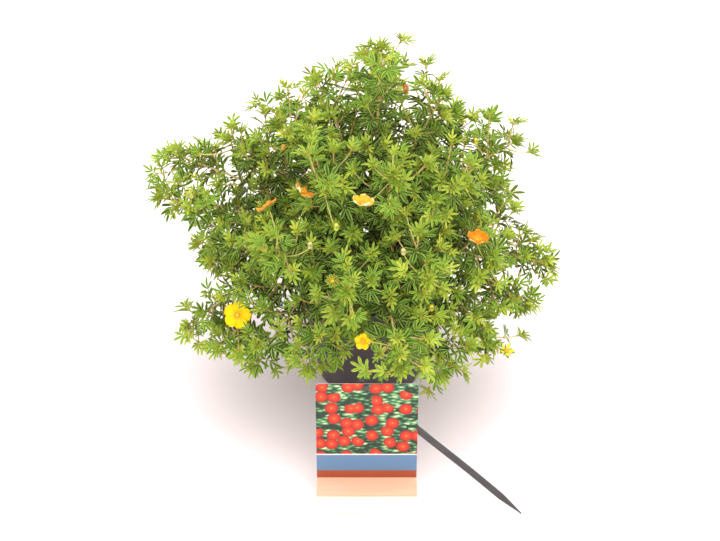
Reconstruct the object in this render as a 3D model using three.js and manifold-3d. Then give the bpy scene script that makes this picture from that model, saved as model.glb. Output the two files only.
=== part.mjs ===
// A potted shrubby cinquefoil in bloom, with its printed plant label.
// Millimetres, Z up. The origin is the centre of the pot's flat base, and the label stands towards -Y.
import * as THREE from 'three';
import { mergeVertices } from 'three/addons/utils/BufferGeometryUtils.js';
import Module from 'manifold-3d';

const wasm = await Module();
wasm.setup();

// Driving dimensions
const gap = 0.3;
const goldenAngle = THREE.MathUtils.degToRad(137.508);

const pot = {
  height: 140, baseRadius: 64, shoulderRadius: 83, shoulderHeight: 112,
  bandRadius: 86.5, rimRadius: 87.8, lipRadius: 90, lipHeight: 4, wall: 2, floor: 2.5, foot: 3, step: 2,
  sides: 24, drainHoles: 4, drainRadius: 5, drainCircle: 42, drainSides: 6,
};
const soil = { edge: 122, crown: 127, sides: 12, play: 0.5 };

// Woody stems: each starts in the soil at a share of its tip's reach, the tall ones nearer the middle,
// so neighbours never cross. It rises steeply, and a low one arches over before it hangs.
const stem = {
  lowSpread: 0.2, highSpread: 0.11, lowest: 95, highest: 452, endLeaf: 18, depth: 9, collar: 3,
  rootRadius: 2.6, tipRadius: 1.4, sides: 3, steps: 4, lowTip: 230, lowRange: 130,
  firstOut: 0.14, firstUp: 0.4, firstLift: 50, firstArch: 62,
  secondOut: 0.62, secondDown: 0.25, secondLift: 10, secondArch: 34, wander: 10,
};
const shoot = {
  places: [0.56, 0.78], lengths: [62, 52], radius: 1.4, tipRadius: 1.3, sides: 3,
  leanLeast: 36, leanMost: 62, bend: 0.5, rest: 0.45, lift: 0.2,
  candidates: 14, room: 46, reach: 0.9, beyond: 400, blocked: 500, clear: 12, bloomClear: 9,
};
const stalk = {
  radius: 1.25, tipRadius: 1, sides: 3, shortest: 30, droop: 30, first: 0.35, last: 0.95, step: 0.02,
  bend: 0.6, sag: 0.12, calyxRadius: 4, calyxHeight: 4, sunk: 1.8,
};

// The plant's outer surface: round its heart, each way as far as the nearest stem tips reach.
const crown = { heart: [-6, -5, 190], spread: 0.035, leafMost: 1.07, leafLeast: 0.56 };

// Room that the foliage leaves round the pot's wall, the soil, the label and the blooms.
const room = { potWall: 8, leaf: 3, bloom: 1 };

// Leaves: half outlines from the stalk to the end leaflet: [along the rib, across it, 1 at a leaflet's tip].
const leafThick = 0.8;
const leafRibHalfWidth = 2.9;
const leafStalkHalfWidth = 1;
const leafTilt = 0.5;
const fullLeaf = {
  lean: 60, hub: 9.8,
  half: [[0, 0.36], [5, 0.6], [12.5, 15.5, 1], [10.6, 2.3], [24, 11.8, 1], [15.4, 2.2], [31, 0, 1]],
};
const youngLeaf = { lean: 7, hub: 6, half: [[0, 0.36], [3.5, 0.5], [13, 7, 1], [9.6, 1.9], [21.5, 0, 1]] };
const leafArch = 0.009;
const leafFold = 0.1;
const leafNeighbours = 90;
const leafTurns = [0, 50, -50, 100, -100, 150, -150];
const stemLeaves = [[0.66, fullLeaf], [0.87, fullLeaf], [1, youngLeaf]];
const shootLeaves = [[0.62, fullLeaf], [1, youngLeaf]];
const endRoot = 1.6;

// Where each woody stem's end leaf reaches, from the leader down to the drooping skirt.
const stemTips = [
  [12, 0, 452], [87, -15, 399], [-66, 0, 411], [-112, -40, 372], [5, 92, 392],
  [-175, 0, 331], [-245, 10, 305], [-65, -120, 335], [25, -125, 350], [110, -90, 325],
  [178, 5, 325], [112, 105, 312], [10, 175, 300], [-105, 125, 312],
  [-258, -25, 262], [-198, -55, 190], [-120, -150, 255], [-28, -200, 240], [68, -175, 240],
  [150, -110, 225], [225, -20, 160], [170, 90, 220], [85, 190, 210], [-40, 215, 200], [-165, 125, 225],
  [-225, -100, 121], [-142, -150, 95], [-74, -190, 118], [32, -250, 165], [86, -180, 103],
  [152, -130, 111], [140, 150, 120], [0, 225, 110], [-130, 185, 115], [-215, 50, 130],
  [-184, -128, 108], [196, -72, 132],
];

// Open flowers: centre, the way each faces, petal length, how far the petals rise, petal colour.
const blooms = [
  {
    name: 'bloom_yellow_open', at: [-152, -110, 154], faces: [-0.1, -0.85, 0.5],
    radius: 17, cup: 2, colour: 0xf6d80c,
  },
  {
    name: 'bloom_cream_orange', at: [-10, -130, 313], faces: [0.1, -0.1, 0.99],
    radius: 12.5, cup: 5, colour: 0xf3b638,
  },
  {
    name: 'bloom_orange_cream', at: [118, -100, 249], faces: [0.1, -0.15, 0.98],
    radius: 13, cup: 4, colour: 0xe8871e,
  },
  {
    name: 'bloom_orange_edge', at: [-113, -110, 297], faces: [-0.56, 0.45, 0.7],
    radius: 13.5, cup: 3, colour: 0xdd7a1c,
  },
  {
    name: 'bloom_orange_red', at: [-75, -110, 316], faces: [0.63, 0.13, 0.84],
    radius: 12.5, cup: 3, colour: 0xe0691b,
  },
  {
    name: 'bloom_golden', at: [-9, -215, 192], faces: [-0.3, -0.8, 0.4],
    radius: 9.5, cup: 3, colour: 0xf2bd16,
  },
  {
    name: 'bloom_small_star', at: [-42, -185, 250], faces: [0, -0.7, 0.7],
    radius: 8.5, cup: 2, colour: 0xe5a01f,
  },
  {
    name: 'bloom_half_open', at: [154, -130, 118], faces: [0.3, -0.5, 0.8],
    radius: 8.5, cup: 5, colour: 0xe9d21c,
  },
];
const petals = 5;
const petal = {
  thick: 0.8, notch: 3.4, shoulder: 0.86, shoulderTurn: 20, eyeRadius: 3, eyeTop: 1.8, eyeHeight: 2.4,
};

// Buds and spent blooms: centre and radius.
const bud = { length: 1.3, turn: 0.4, sunk: 0.6 };
const buds = [
  [38, -20, 396, 3.6], [-244, -20, 262, 3.4], [-38, -150, 296, 3.6], [34, -160, 271, 3.8],
  [-66, -160, 279, 3.8], [118, -20, 330, 3.2],
];

// Plant label: a printed card upright in a wooden block, with its stake pegged through the card.
const card = { width: 111, height: 140, thick: 0.8, corner: 5, x: -5, y: -240, foot: 14, pegHole: 2.7 };
const block = { height: 24, front: -273, back: -228, slotDepth: 10.3 };
const stake = {
  width: 8, thick: 2.2, pegRadius: 2.2, capRadius: 3.6, capThick: 1.2, pegSides: 6,
  pointLength: 34, pointWidth: 0.12, pointThick: 0.3, floorReach: 10, steps: 6,
  head: [-13, -236.4, 156.3], peg: [-6, -236.4, 149], edge: [51, -236.6, 89],
  middle: [110, -252, 42], tip: [166, -274, 0.7],
};

const vec = (x, y, z) => new THREE.Vector3(x, y, z);
const up = vec(0, 0, 1);
const heart = vec(...crown.heart);
const tipsFromHeart = stemTips.map((tip) => vec(...tip).sub(heart));

// The same small generator of seeded draws for every stem, started from the stem's number.
function seededDraws(start) {
  let state = start * 7919;
  return () => {
    state = (state + 0x6d2b79f5) | 0;
    let mixed = Math.imul(state ^ (state >>> 15), 1 | state);
    mixed = (mixed + Math.imul(mixed ^ (mixed >>> 7), 61 | mixed)) ^ mixed;
    return ((mixed ^ (mixed >>> 14)) >>> 0) / 4294967296;
  };
}

function solidOf(points, faces) {
  const vertProperties = new Float32Array(points.flatMap((p) => [p.x, p.y, p.z]));
  const triVerts = new Uint32Array(faces.flat());
  return new wasm.Manifold(new wasm.Mesh({ numProp: 3, vertProperties, triVerts }));
}

function solidOfGeometry(geometry) {
  const bare = geometry.clone();
  bare.deleteAttribute('normal');
  bare.deleteAttribute('uv');
  const merged = mergeVertices(bare, 1e-4);
  const points = [];
  for (let i = 0; i < merged.attributes.position.count; i += 1) {
    points.push(new THREE.Vector3().fromBufferAttribute(merged.attributes.position, i));
  }
  const faces = [];
  for (let i = 0; i < merged.index.count; i += 3) {
    const face = [0, 1, 2].map((k) => merged.index.getX(i + k));
    if (new Set(face).size === 3) faces.push(face);
  }
  return solidOf(points, faces);
}

function geometryOf(solid) {
  const mesh = solid.getMesh();
  const geometry = new THREE.BufferGeometry();
  geometry.setAttribute('position', new THREE.BufferAttribute(new Float32Array(mesh.vertProperties), 3));
  geometry.setIndex(new THREE.BufferAttribute(new Uint32Array(mesh.triVerts), 1));
  geometry.computeVertexNormals();
  return geometry;
}

const joined = (solids) => wasm.Manifold.union(solids);

// A closed tube of flat sides through the points, its section carried along them without a twist.
function tube(points, radii, sides) {
  const ring = [];
  let across = vec(1, 0, 0);
  points.forEach((point, i) => {
    const before = points[Math.max(i - 1, 0)];
    const after = points[Math.min(i + 1, points.length - 1)];
    const along = after.clone().sub(before).normalize();
    across = across.clone().addScaledVector(along, -across.dot(along)).normalize();
    const beside = along.clone().cross(across);
    for (let k = 0; k < sides; k += 1) {
      const turn = (2 * Math.PI * k) / sides;
      const corner = point.clone().addScaledVector(across, radii[i] * Math.cos(turn));
      ring.push(corner.addScaledVector(beside, radii[i] * Math.sin(turn)));
    }
  });
  const faces = [];
  for (let i = 0; i + 1 < points.length; i += 1) {
    for (let k = 0; k < sides; k += 1) {
      const a = i * sides + k;
      const b = i * sides + ((k + 1) % sides);
      faces.push([a, b, b + sides], [a, b + sides, a + sides]);
    }
  }
  const last = (points.length - 1) * sides;
  for (let k = 1; k + 1 < sides; k += 1) faces.push([0, k + 1, k], [last, last + k, last + k + 1]);
  return solidOf(ring, faces);
}

// A thin blade: an outline of flat points lifted onto a curved surface, with two alike faces.
// A sharp point has one corner in place of two, as at the tip of a leaflet.
function blade(outline, triangles, lifted, normal, thick) {
  const half = normal.clone().multiplyScalar(thick / 2);
  const corners = [];
  const top = [];
  const bottom = [];
  outline.forEach(({ u, v, sharp }) => {
    const middle = lifted(u, v);
    top.push(corners.length);
    corners.push(sharp ? middle : middle.clone().add(half));
    bottom.push(sharp ? corners.length - 1 : corners.length);
    if (!sharp) corners.push(middle.clone().sub(half));
  });
  const faces = triangles.map((corner) => corner.map((i) => top[i]));
  triangles.forEach(([a, b, c]) => faces.push([bottom[a], bottom[c], bottom[b]]));
  outline.forEach((point, i) => {
    const j = (i + 1) % outline.length;
    if (!point.sharp) faces.push([top[i], bottom[i], bottom[j]]);
    if (!outline[j].sharp) faces.push([top[i], bottom[j], top[j]]);
  });
  return solidOf(corners, faces);
}

// Pot and soil

function potRadius(z) {
  if (z > pot.shoulderHeight) return pot.lipRadius;
  return THREE.MathUtils.lerp(pot.baseRadius, pot.shoulderRadius, Math.max(z, 0) / pot.shoulderHeight);
}

function soilTop(x, y) {
  const share = (x * x + y * y) / (pot.shoulderRadius * pot.shoulderRadius);
  return soil.edge + (soil.crown - soil.edge) * Math.max(0, 1 - share);
}

function makePot() {
  const { height, baseRadius, shoulderRadius, shoulderHeight, bandRadius, rimRadius, lipRadius, wall } = pot;
  const underLip = height - pot.lipHeight;
  const profile = [
    [0, 0], [baseRadius - pot.foot, 0], [baseRadius, pot.foot], [shoulderRadius, shoulderHeight],
    [bandRadius, shoulderHeight + pot.step], [rimRadius, underLip - 1], [lipRadius, underLip],
    [lipRadius, height], [rimRadius - wall, height], [bandRadius - wall, shoulderHeight + pot.step],
    [shoulderRadius - wall, shoulderHeight - pot.step], [baseRadius - wall, pot.floor], [0, pot.floor],
  ];
  const shell = new THREE.LatheGeometry(profile.map(([r, z]) => new THREE.Vector2(r, z)), pot.sides);
  shell.rotateX(Math.PI / 2);
  let solid = solidOfGeometry(shell);
  for (let i = 0; i < pot.drainHoles; i += 1) {
    const turn = (2 * Math.PI * (i + 0.5)) / pot.drainHoles;
    const drill = new THREE.CylinderGeometry(pot.drainRadius, pot.drainRadius, 4 * pot.floor, pot.drainSides);
    drill.rotateX(Math.PI / 2);
    drill.translate(pot.drainCircle * Math.cos(turn), pot.drainCircle * Math.sin(turn), 0);
    solid = solid.subtract(solidOfGeometry(drill));
  }
  return solid;
}

function makeSoil(stems) {
  const inside = (r) => r - pot.wall - gap - soil.play;
  const bottom = pot.floor + gap;
  const profile = [
    [0, bottom], [inside(pot.baseRadius), bottom],
    [inside(pot.shoulderRadius), pot.shoulderHeight - pot.step], [inside(pot.bandRadius) - 1, soil.edge],
    [0, soil.crown],
  ];
  const fill = new THREE.LatheGeometry(profile.map(([r, z]) => new THREE.Vector2(r, z)), soil.sides);
  fill.rotateX(Math.PI / 2);
  const holes = stems.map(({ root }) => {
    const radius = stem.rootRadius + gap * Math.SQRT2;
    const low = root.clone().setZ(root.z - stem.depth - gap);
    return tube([low, root.clone().setZ(root.z + stem.depth)], [radius, radius], stem.sides);
  });
  return solidOfGeometry(fill).subtract(joined(holes));
}

// Skeleton of the plant: woody stems, flower stalks and side shoots, each a list of points

function pointAlong(points, share) {
  const lengths = points.slice(1).map((p, i) => p.distanceTo(points[i]));
  let left = share * lengths.reduce((sum, length) => sum + length, 0);
  let i = 0;
  while (i < lengths.length - 1 && left > lengths[i]) {
    left -= lengths[i];
    i += 1;
  }
  const along = points[i + 1].clone().sub(points[i]).normalize();
  return { point: points[i].clone().addScaledVector(along, left), along };
}

function makeStem(tipPlace, number) {
  const draw = seededDraws(number + 1);
  const tip = vec(...tipPlace);
  const spread = THREE.MathUtils.mapLinear(tip.z, stem.lowest, stem.highest, stem.lowSpread, stem.highSpread);
  const root = vec(tip.x * spread, tip.y * spread, 0);
  root.z = soilTop(root.x, root.y);
  const outward = vec(tip.x - root.x, tip.y - root.y, 0);
  const rise = Math.max(tip.z - root.z, 0);
  const low = THREE.MathUtils.clamp((stem.lowTip - tip.z) / stem.lowRange, 0, 1);
  const start = root.clone().setZ(root.z + stem.collar);
  const first = root.clone().addScaledVector(outward, stem.firstOut);
  first.z = root.z + stem.firstUp * rise + stem.firstLift + stem.firstArch * low;
  const second = root.clone().addScaledVector(outward, stem.secondOut);
  second.z = tip.z - stem.secondDown * rise + stem.secondLift + stem.secondArch * low;
  second.x += stem.wander * (draw() - 0.5);
  second.y += stem.wander * (draw() - 0.5);
  const ending = tip.clone().sub(second).normalize();
  const end = tip.clone().addScaledVector(ending, -stem.endLeaf);
  const curve = new THREE.CubicBezierCurve3(start, first, second, end);
  const points = [root.clone().setZ(root.z - stem.depth), ...curve.getPoints(stem.steps)];
  const share = (i) => Math.max(i - 1, 0) / stem.steps;
  const radii = points.map((_, i) => THREE.MathUtils.lerp(stem.rootRadius, stem.tipRadius, share(i)));
  const main = { points, radii, sides: stem.sides };
  return { number, draw, root, main, side: [], blooms: [], buds: [], leaves: [] };
}

function segmentsOf(branch) {
  return branch.points.slice(1).map((b, i) => ({ a: branch.points[i], b, radius: branch.radii[i] }));
}

const bloomBack = petal.thick / 2 + gap;

// A flower or bud hangs on a stalk from the nearest woody stem.
function addStalk(stems, centre, faces, standOff) {
  const end = centre.clone().addScaledVector(faces, -standOff);
  let best = { distance: Infinity };
  stems.forEach((owner) => {
    for (let share = stalk.first; share < stalk.last; share += stalk.step) {
      const { point } = pointAlong(owner.main.points, share);
      const distance = point.distanceTo(end);
      const rises = point.z < end.z + stalk.droop;
      if (rises && distance > stalk.shortest && distance < best.distance) best = { distance, owner, point };
    }
  });
  const middle = best.point.clone().lerp(end, stalk.bend).addScaledVector(faces, -stalk.sag * best.distance);
  const points = [best.point, middle, end];
  const radii = [stalk.radius, stalk.radius, stalk.tipRadius];
  best.owner.side.push({ points, radii, sides: stalk.sides, flower: true });
  return best.owner;
}

function keptOut(p, margin) {
  const reach = Math.hypot(p.x, p.y);
  if (p.z < pot.height + margin && reach < potRadius(p.z) + margin) {
    if (reach > potRadius(p.z) - room.potWall || p.z < soilTop(p.x, p.y) + margin) return true;
  }
  const overCard = Math.abs(p.x - card.x) < card.width / 2 + margin && p.z < card.foot + card.height + margin;
  if (overCard && p.y < block.back + margin && p.y > card.y - margin) return true;
  const overBlock = Math.abs(p.x - card.x) < card.width / 2 + margin && p.z < block.height + margin;
  return (overBlock && p.y < block.back + margin) || p.z < margin;
}

function nearestTo(p, points) {
  return points.reduce((least, other) => Math.min(least, p.distanceTo(other)), Infinity);
}

// One side shoot that could grow at this place, leaning and rolled by two draws.
function drawnShoot(owner, point, along, length) {
  const lean = THREE.MathUtils.lerp(shoot.leanLeast, shoot.leanMost, owner.draw());
  const heading = turned(along, THREE.MathUtils.degToRad(lean), 2 * Math.PI * owner.draw());
  const middle = point.clone().addScaledVector(heading, length * shoot.bend);
  const end = middle.clone().addScaledVector(heading, length * shoot.rest);
  end.addScaledVector(up, length * shoot.lift);
  const radii = [shoot.radius, shoot.radius, shoot.tipRadius];
  return { points: [point, middle, end], radii, sides: shoot.sides };
}

// A side shoot is better where it is far from the others, within the crown and clear of the blooms.
function shootScore(branch, own, others) {
  const [, middle, end] = branch.points;
  const clear = Math.min(nearestTo(middle, others), nearestTo(end, others), shoot.room);
  const spread = Math.min(nearestTo(end, own), shoot.room);
  const outside = Math.max(0, reachShare(end) - shoot.reach) * shoot.beyond;
  const nearBloom = (p) => blooms.some((b) => p.distanceTo(vec(...b.at)) < b.radius + shoot.bloomClear);
  const blocked = [middle, end].some((p) => keptOut(p, shoot.clear) || nearBloom(p));
  return clear + 0.5 * spread - outside - (blocked ? shoot.blocked : 0);
}

function addShoots(stems) {
  const taken = stems.map((owner) => branchesOf(owner).flatMap((branch) => samples(branch)));
  shoot.places.forEach((place, turn) => {
    stems.forEach((owner) => {
      const { point, along } = pointAlong(owner.main.points, place);
      const others = taken.filter((_, i) => i !== owner.number).flat();
      let best = { score: -Infinity };
      for (let i = 0; i < shoot.candidates; i += 1) {
        const branch = drawnShoot(owner, point, along, shoot.lengths[turn]);
        const score = shootScore(branch, taken[owner.number], others);
        if (score > best.score) best = { score, branch };
      }
      owner.side.push(best.branch);
      taken[owner.number].push(...samples(best.branch));
    });
  });
}

const branchesOf = (owner) => [owner.main, ...owner.side];

function samples(branch) {
  const found = [];
  for (let share = 0.1; share <= 1.001; share += 0.1) found.push(pointAlong(branch.points, share).point);
  return found;
}

// How far out a point is, where 1 is on the crown's surface: tips in its own direction count most.
function reachShare(p) {
  const away = p.clone().sub(heart);
  const distance = away.length();
  let weights = 0;
  let reaches = 0;
  tipsFromHeart.forEach((tip) => {
    const reach = tip.length();
    const weight = Math.exp((away.dot(tip) / (distance * reach) - 1) / crown.spread);
    weights += weight;
    reaches += weight * reach;
  });
  return (distance * weights) / reaches;
}

// A direction that leans away from another by one angle, rolled about it by a second.
function turned(along, lean, roll) {
  const across = vec(along.y, -along.x, 0.001).normalize();
  across.addScaledVector(along, -across.dot(along)).normalize().applyAxisAngle(along, roll);
  return along.clone().multiplyScalar(Math.cos(lean)).addScaledVector(across, Math.sin(lean));
}

// Leaves

function placeLeaf(kind, point, along, roll) {
  const rib = turned(along, THREE.MathUtils.degToRad(kind.lean), roll);
  const facing = along.clone().addScaledVector(up, leafTilt);
  const normal = facing.addScaledVector(rib, -facing.dot(rib)).normalize();
  const beside = normal.clone().cross(rib);
  const lifted = (u, v) => point.clone()
    .addScaledVector(rib, u).addScaledVector(beside, v)
    .addScaledVector(normal, leafFold * Math.abs(v) - leafArch * u * u);
  const hub = lifted(kind.hub, 0);
  const leafletTips = kind.half.filter(([, , sharp]) => sharp);
  const tips = leafletTips.flatMap(([u, v]) => (v === 0 ? [lifted(u, 0)] : [lifted(u, v), lifted(u, -v)]));
  const leaflets = tips.map((b) => ({ a: hub, b, radius: leafRibHalfWidth }));
  const ribs = [{ a: point, b: hub, radius: leafStalkHalfWidth }, ...leaflets];
  return { kind, lifted, normal, ribs, tips };
}

// The blade's triangles: a strip along the rib, and one for each leaflet beside it.
function leafSolid(leaf) {
  const { half } = leaf.kind;
  const last = half.length - 1;
  const outline = [];
  half.forEach(([u, v, sharp]) => outline.push({ u, v: -v, sharp }));
  half.slice(0, last).reverse().forEach(([u, v, sharp]) => outline.push({ u, v, sharp }));
  const across = (i) => 2 * last - i;
  const triangles = [[last - 1, last, last + 1]];
  for (let i = 0; i < last - 1; i += 1) {
    if (half[i][2]) continue;
    const next = half[i + 1][2] ? i + 2 : i + 1;
    triangles.push([i, next, across(next)], [i, across(next), across(i)]);
    if (next === i + 2) triangles.push([i, i + 1, next], [across(i), across(next), across(i + 1)]);
  }
  return blade(outline, triangles, leaf.lifted, leaf.normal, leafThick);
}

// Shortest distance between two straight pieces.
function pieceDistance(p, q) {
  const d1 = p.b.clone().sub(p.a);
  const d2 = q.b.clone().sub(q.a);
  const r = p.a.clone().sub(q.a);
  const a = d1.dot(d1);
  const e = d2.dot(d2);
  const f = d2.dot(r);
  const c = d1.dot(r);
  const b = d1.dot(d2);
  const denominator = a * e - b * b;
  const clamp = THREE.MathUtils.clamp;
  let s = denominator > 1e-9 ? clamp((b * f - c * e) / denominator, 0, 1) : 0;
  const t = clamp((b * s + f) / e, 0, 1);
  s = clamp((b * t - c) / a, 0, 1);
  return p.a.clone().addScaledVector(d1, s).distanceTo(q.a.clone().addScaledVector(d2, t));
}

function leafFits(leaf, others) {
  if (leaf.tips.some((tip) => keptOut(tip, room.leaf))) return false;
  if (leaf.kind === fullLeaf && leaf.tips.some((tip) => reachShare(tip) > crown.leafMost)) return false;
  const nearBloom = blooms.some((b) => leaf.ribs.some((rib) => {
    const spot = { a: vec(...b.at), b: vec(...b.at).addScaledVector(up, 0.1) };
    return pieceDistance(rib, spot) < b.radius + leafRibHalfWidth + room.bloom;
  }));
  if (nearBloom) return false;
  const hub = leaf.ribs[0].b;
  return others.every((piece) => {
    if (piece.a.distanceTo(hub) > leafNeighbours && piece.b.distanceTo(hub) > leafNeighbours) return true;
    return leaf.ribs.every((rib) => pieceDistance(rib, piece) > rib.radius + piece.radius + gap);
  });
}

function addLeaves(stems) {
  const bare = stems.map((owner) => branchesOf(owner).flatMap(segmentsOf));
  const leafy = stems.map(() => []);
  stems.forEach((owner, i) => {
    const otherStems = bare.filter((_, k) => k !== i).flat();
    let count = 0;
    branchesOf(owner).forEach((branch) => {
      if (branch.flower) return;
      const places = branch === owner.main ? stemLeaves : shootLeaves;
      places.forEach(([share, kind]) => {
        count += 1;
        const { point, along } = pointAlong(branch.points, share);
        if (reachShare(point) < crown.leafLeast) return;
        if (share === 1) point.addScaledVector(along, -endRoot);
        const others = [...otherStems, ...leafy.flat()];
        const roll = goldenAngle * (count + i);
        const found = leafTurns
          .map((turn) => placeLeaf(kind, point, along, roll + THREE.MathUtils.degToRad(turn)))
          .find((leaf) => leafFits(leaf, others));
        if (!found) return;
        owner.leaves.push(found);
        leafy[i].push(...found.ribs.slice(1));
      });
    });
  });
}

// Flowers

function calyxSolid(end, faces) {
  const foot = end.clone().addScaledVector(faces, -stalk.calyxHeight);
  return tube([foot, end], [stalk.tipRadius + 0.4, stalk.calyxRadius], 5);
}

function budSolid([x, y, z, radius]) {
  const closed = new THREE.OctahedronGeometry(radius);
  closed.scale(1, 1, bud.length);
  closed.rotateZ(bud.turn);
  closed.translate(x, y, z);
  return solidOfGeometry(closed);
}

function bloomSolid({ radius, cup }) {
  const turn = THREE.MathUtils.degToRad(petal.shoulderTurn);
  const shoulder = radius * petal.shoulder;
  const outline = [];
  for (let i = 0; i < petals; i += 1) {
    const middle = (2 * Math.PI * i) / petals;
    const corners = [[petal.notch, -Math.PI / petals], [shoulder, -turn], [radius, 0], [shoulder, turn]];
    corners.forEach(([r, a]) => outline.push({ u: r * Math.cos(middle + a), v: r * Math.sin(middle + a) }));
  }
  const triangles = THREE.ShapeUtils.triangulateShape(outline.map(({ u, v }) => new THREE.Vector2(u, v)), []);
  const lifted = (u, v) => vec(u, v, (cup * (u * u + v * v)) / (radius * radius));
  const eye = new THREE.CylinderGeometry(petal.eyeTop, petal.eyeRadius, petal.eyeHeight, petals);
  eye.rotateX(Math.PI / 2);
  eye.translate(0, 0, petal.eyeHeight / 2);
  return blade(outline, triangles, lifted, up, petal.thick).add(solidOfGeometry(eye));
}

// Label, block and stake

function makeCard() {
  const { width, height, corner } = card;
  const half = width / 2;
  const outline = new THREE.Shape();
  outline.absarc(half - corner, height - corner, corner, 0, Math.PI / 2);
  outline.absarc(corner - half, height - corner, corner, Math.PI / 2, Math.PI);
  outline.absarc(corner - half, corner, corner, Math.PI, 1.5 * Math.PI);
  outline.absarc(half - corner, corner, corner, 1.5 * Math.PI, 2 * Math.PI);
  const hole = new THREE.Path();
  hole.absarc(stake.peg[0] - card.x, stake.peg[2] - card.foot, card.pegHole, 0, 2 * Math.PI, true);
  outline.holes.push(hole);
  const plain = { depth: card.thick, bevelEnabled: false, curveSegments: 3 };
  const sheet = new THREE.ExtrudeGeometry(outline, plain);
  sheet.rotateX(Math.PI / 2);
  sheet.translate(card.x, card.y + card.thick, card.foot);
  return solidOfGeometry(sheet);
}

function makeBlock() {
  const depth = block.back - block.front;
  const body = new THREE.BoxGeometry(card.width, depth, block.height);
  body.translate(card.x, (block.front + block.back) / 2, block.height / 2);
  const slot = new THREE.BoxGeometry(card.width * 2, card.thick + 2 * gap, block.slotDepth * 2);
  slot.translate(card.x, card.y + card.thick / 2, block.height);
  return solidOfGeometry(body).subtract(solidOfGeometry(slot));
}

function makeStake() {
  const { head, peg: pegPlace, edge, middle, tip, steps } = stake;
  const route = new THREE.CatmullRomCurve3([head, pegPlace, edge, middle, tip].map((p) => vec(...p)));
  const length = route.getLength();
  const corners = [];
  for (let i = 0; i <= steps; i += 1) {
    const share = i / steps;
    const point = route.getPointAt(share);
    const along = route.getTangentAt(share);
    const flat = vec(0, -1, 0).addScaledVector(along, along.y).normalize();
    const wide = along.clone().cross(flat);
    const narrowing = Math.min(1, ((1 - share) * length) / stake.pointLength + stake.pointWidth);
    const halfWidth = (stake.width / 2) * narrowing;
    const halfThick = (stake.thick / 2) * Math.min(1, narrowing + stake.pointThick);
    [[1, 1], [-1, 1], [-1, -1], [1, -1]].forEach(([a, b]) => {
      corners.push(point.clone().addScaledVector(wide, a * halfWidth).addScaledVector(flat, b * halfThick));
    });
  }
  const faces = [];
  for (let i = 0; i < steps; i += 1) {
    for (let k = 0; k < 4; k += 1) {
      const a = i * 4 + k;
      const b = i * 4 + ((k + 1) % 4);
      faces.push([a, b + 4, b], [a, a + 4, b + 4]);
    }
  }
  const last = steps * 4;
  faces.push([0, 1, 2], [0, 2, 3], [last, last + 2, last + 1], [last, last + 3, last + 2]);
  const lowest = Math.min(...corners.map((p) => p.z));
  corners.filter((p) => p.z < stake.floorReach).forEach((p) => p.setZ(p.z - lowest));
  const front = card.y - gap;
  const pegLength = stake.peg[1] - front;
  const peg = new THREE.CylinderGeometry(stake.pegRadius, stake.pegRadius, pegLength, stake.pegSides);
  peg.translate(stake.peg[0], stake.peg[1] - pegLength / 2, stake.peg[2]);
  const cap = new THREE.CylinderGeometry(stake.capRadius, stake.capRadius, stake.capThick, stake.pegSides);
  cap.translate(stake.peg[0], front - stake.capThick / 2, stake.peg[2]);
  return joined([solidOf(corners, faces), solidOfGeometry(peg), solidOfGeometry(cap)]);
}

// Assembly

const object = new THREE.Group();

function addMesh(name, solid, colour, roughness) {
  const material = new THREE.MeshStandardMaterial({ color: colour, roughness, metalness: 0 });
  const mesh = new THREE.Mesh(geometryOf(solid), material);
  mesh.name = name;
  object.add(mesh);
  return mesh;
}

const stems = stemTips.map(makeStem);
blooms.forEach((bloom) => {
  const faces = vec(...bloom.faces).normalize();
  const owner = addStalk(stems, vec(...bloom.at), faces, bloomBack + stalk.sunk);
  owner.blooms.push({ end: vec(...bloom.at).addScaledVector(faces, -bloomBack), faces });
});
buds.forEach((place) => {
  const owner = addStalk(stems, vec(...place.slice(0, 3)), up, place[3] * bud.sunk);
  owner.buds.push(place);
});
addShoots(stems);
addLeaves(stems);

addMesh('pot', makePot(), 0x34302f, 0.55);
addMesh('potting_soil', makeSoil(stems), 0x2f241b, 0.95);
stems.forEach((owner) => {
  const solids = [
    ...branchesOf(owner).map((branch) => tube(branch.points, branch.radii, branch.sides)),
    ...owner.leaves.map(leafSolid),
    ...owner.blooms.map(({ end, faces }) => calyxSolid(end, faces)),
    ...owner.buds.map(budSolid),
  ];
  const name = `leafy_stem_${String(owner.number + 1).padStart(2, '0')}`;
  addMesh(name, joined(solids), 0x5f9233, 0.6);
});
blooms.forEach((bloom) => {
  const mesh = addMesh(bloom.name, bloomSolid(bloom), bloom.colour, 0.5);
  mesh.position.set(...bloom.at);
  mesh.quaternion.setFromUnitVectors(up, vec(...bloom.faces).normalize());
});
addMesh('label_card', makeCard(), 0xc8502c, 0.35);
addMesh('label_block', makeBlock(), 0xe6c9a8, 0.7);
addMesh('label_stake', makeStake(), 0x48464a, 0.5);

export default object;
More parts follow.
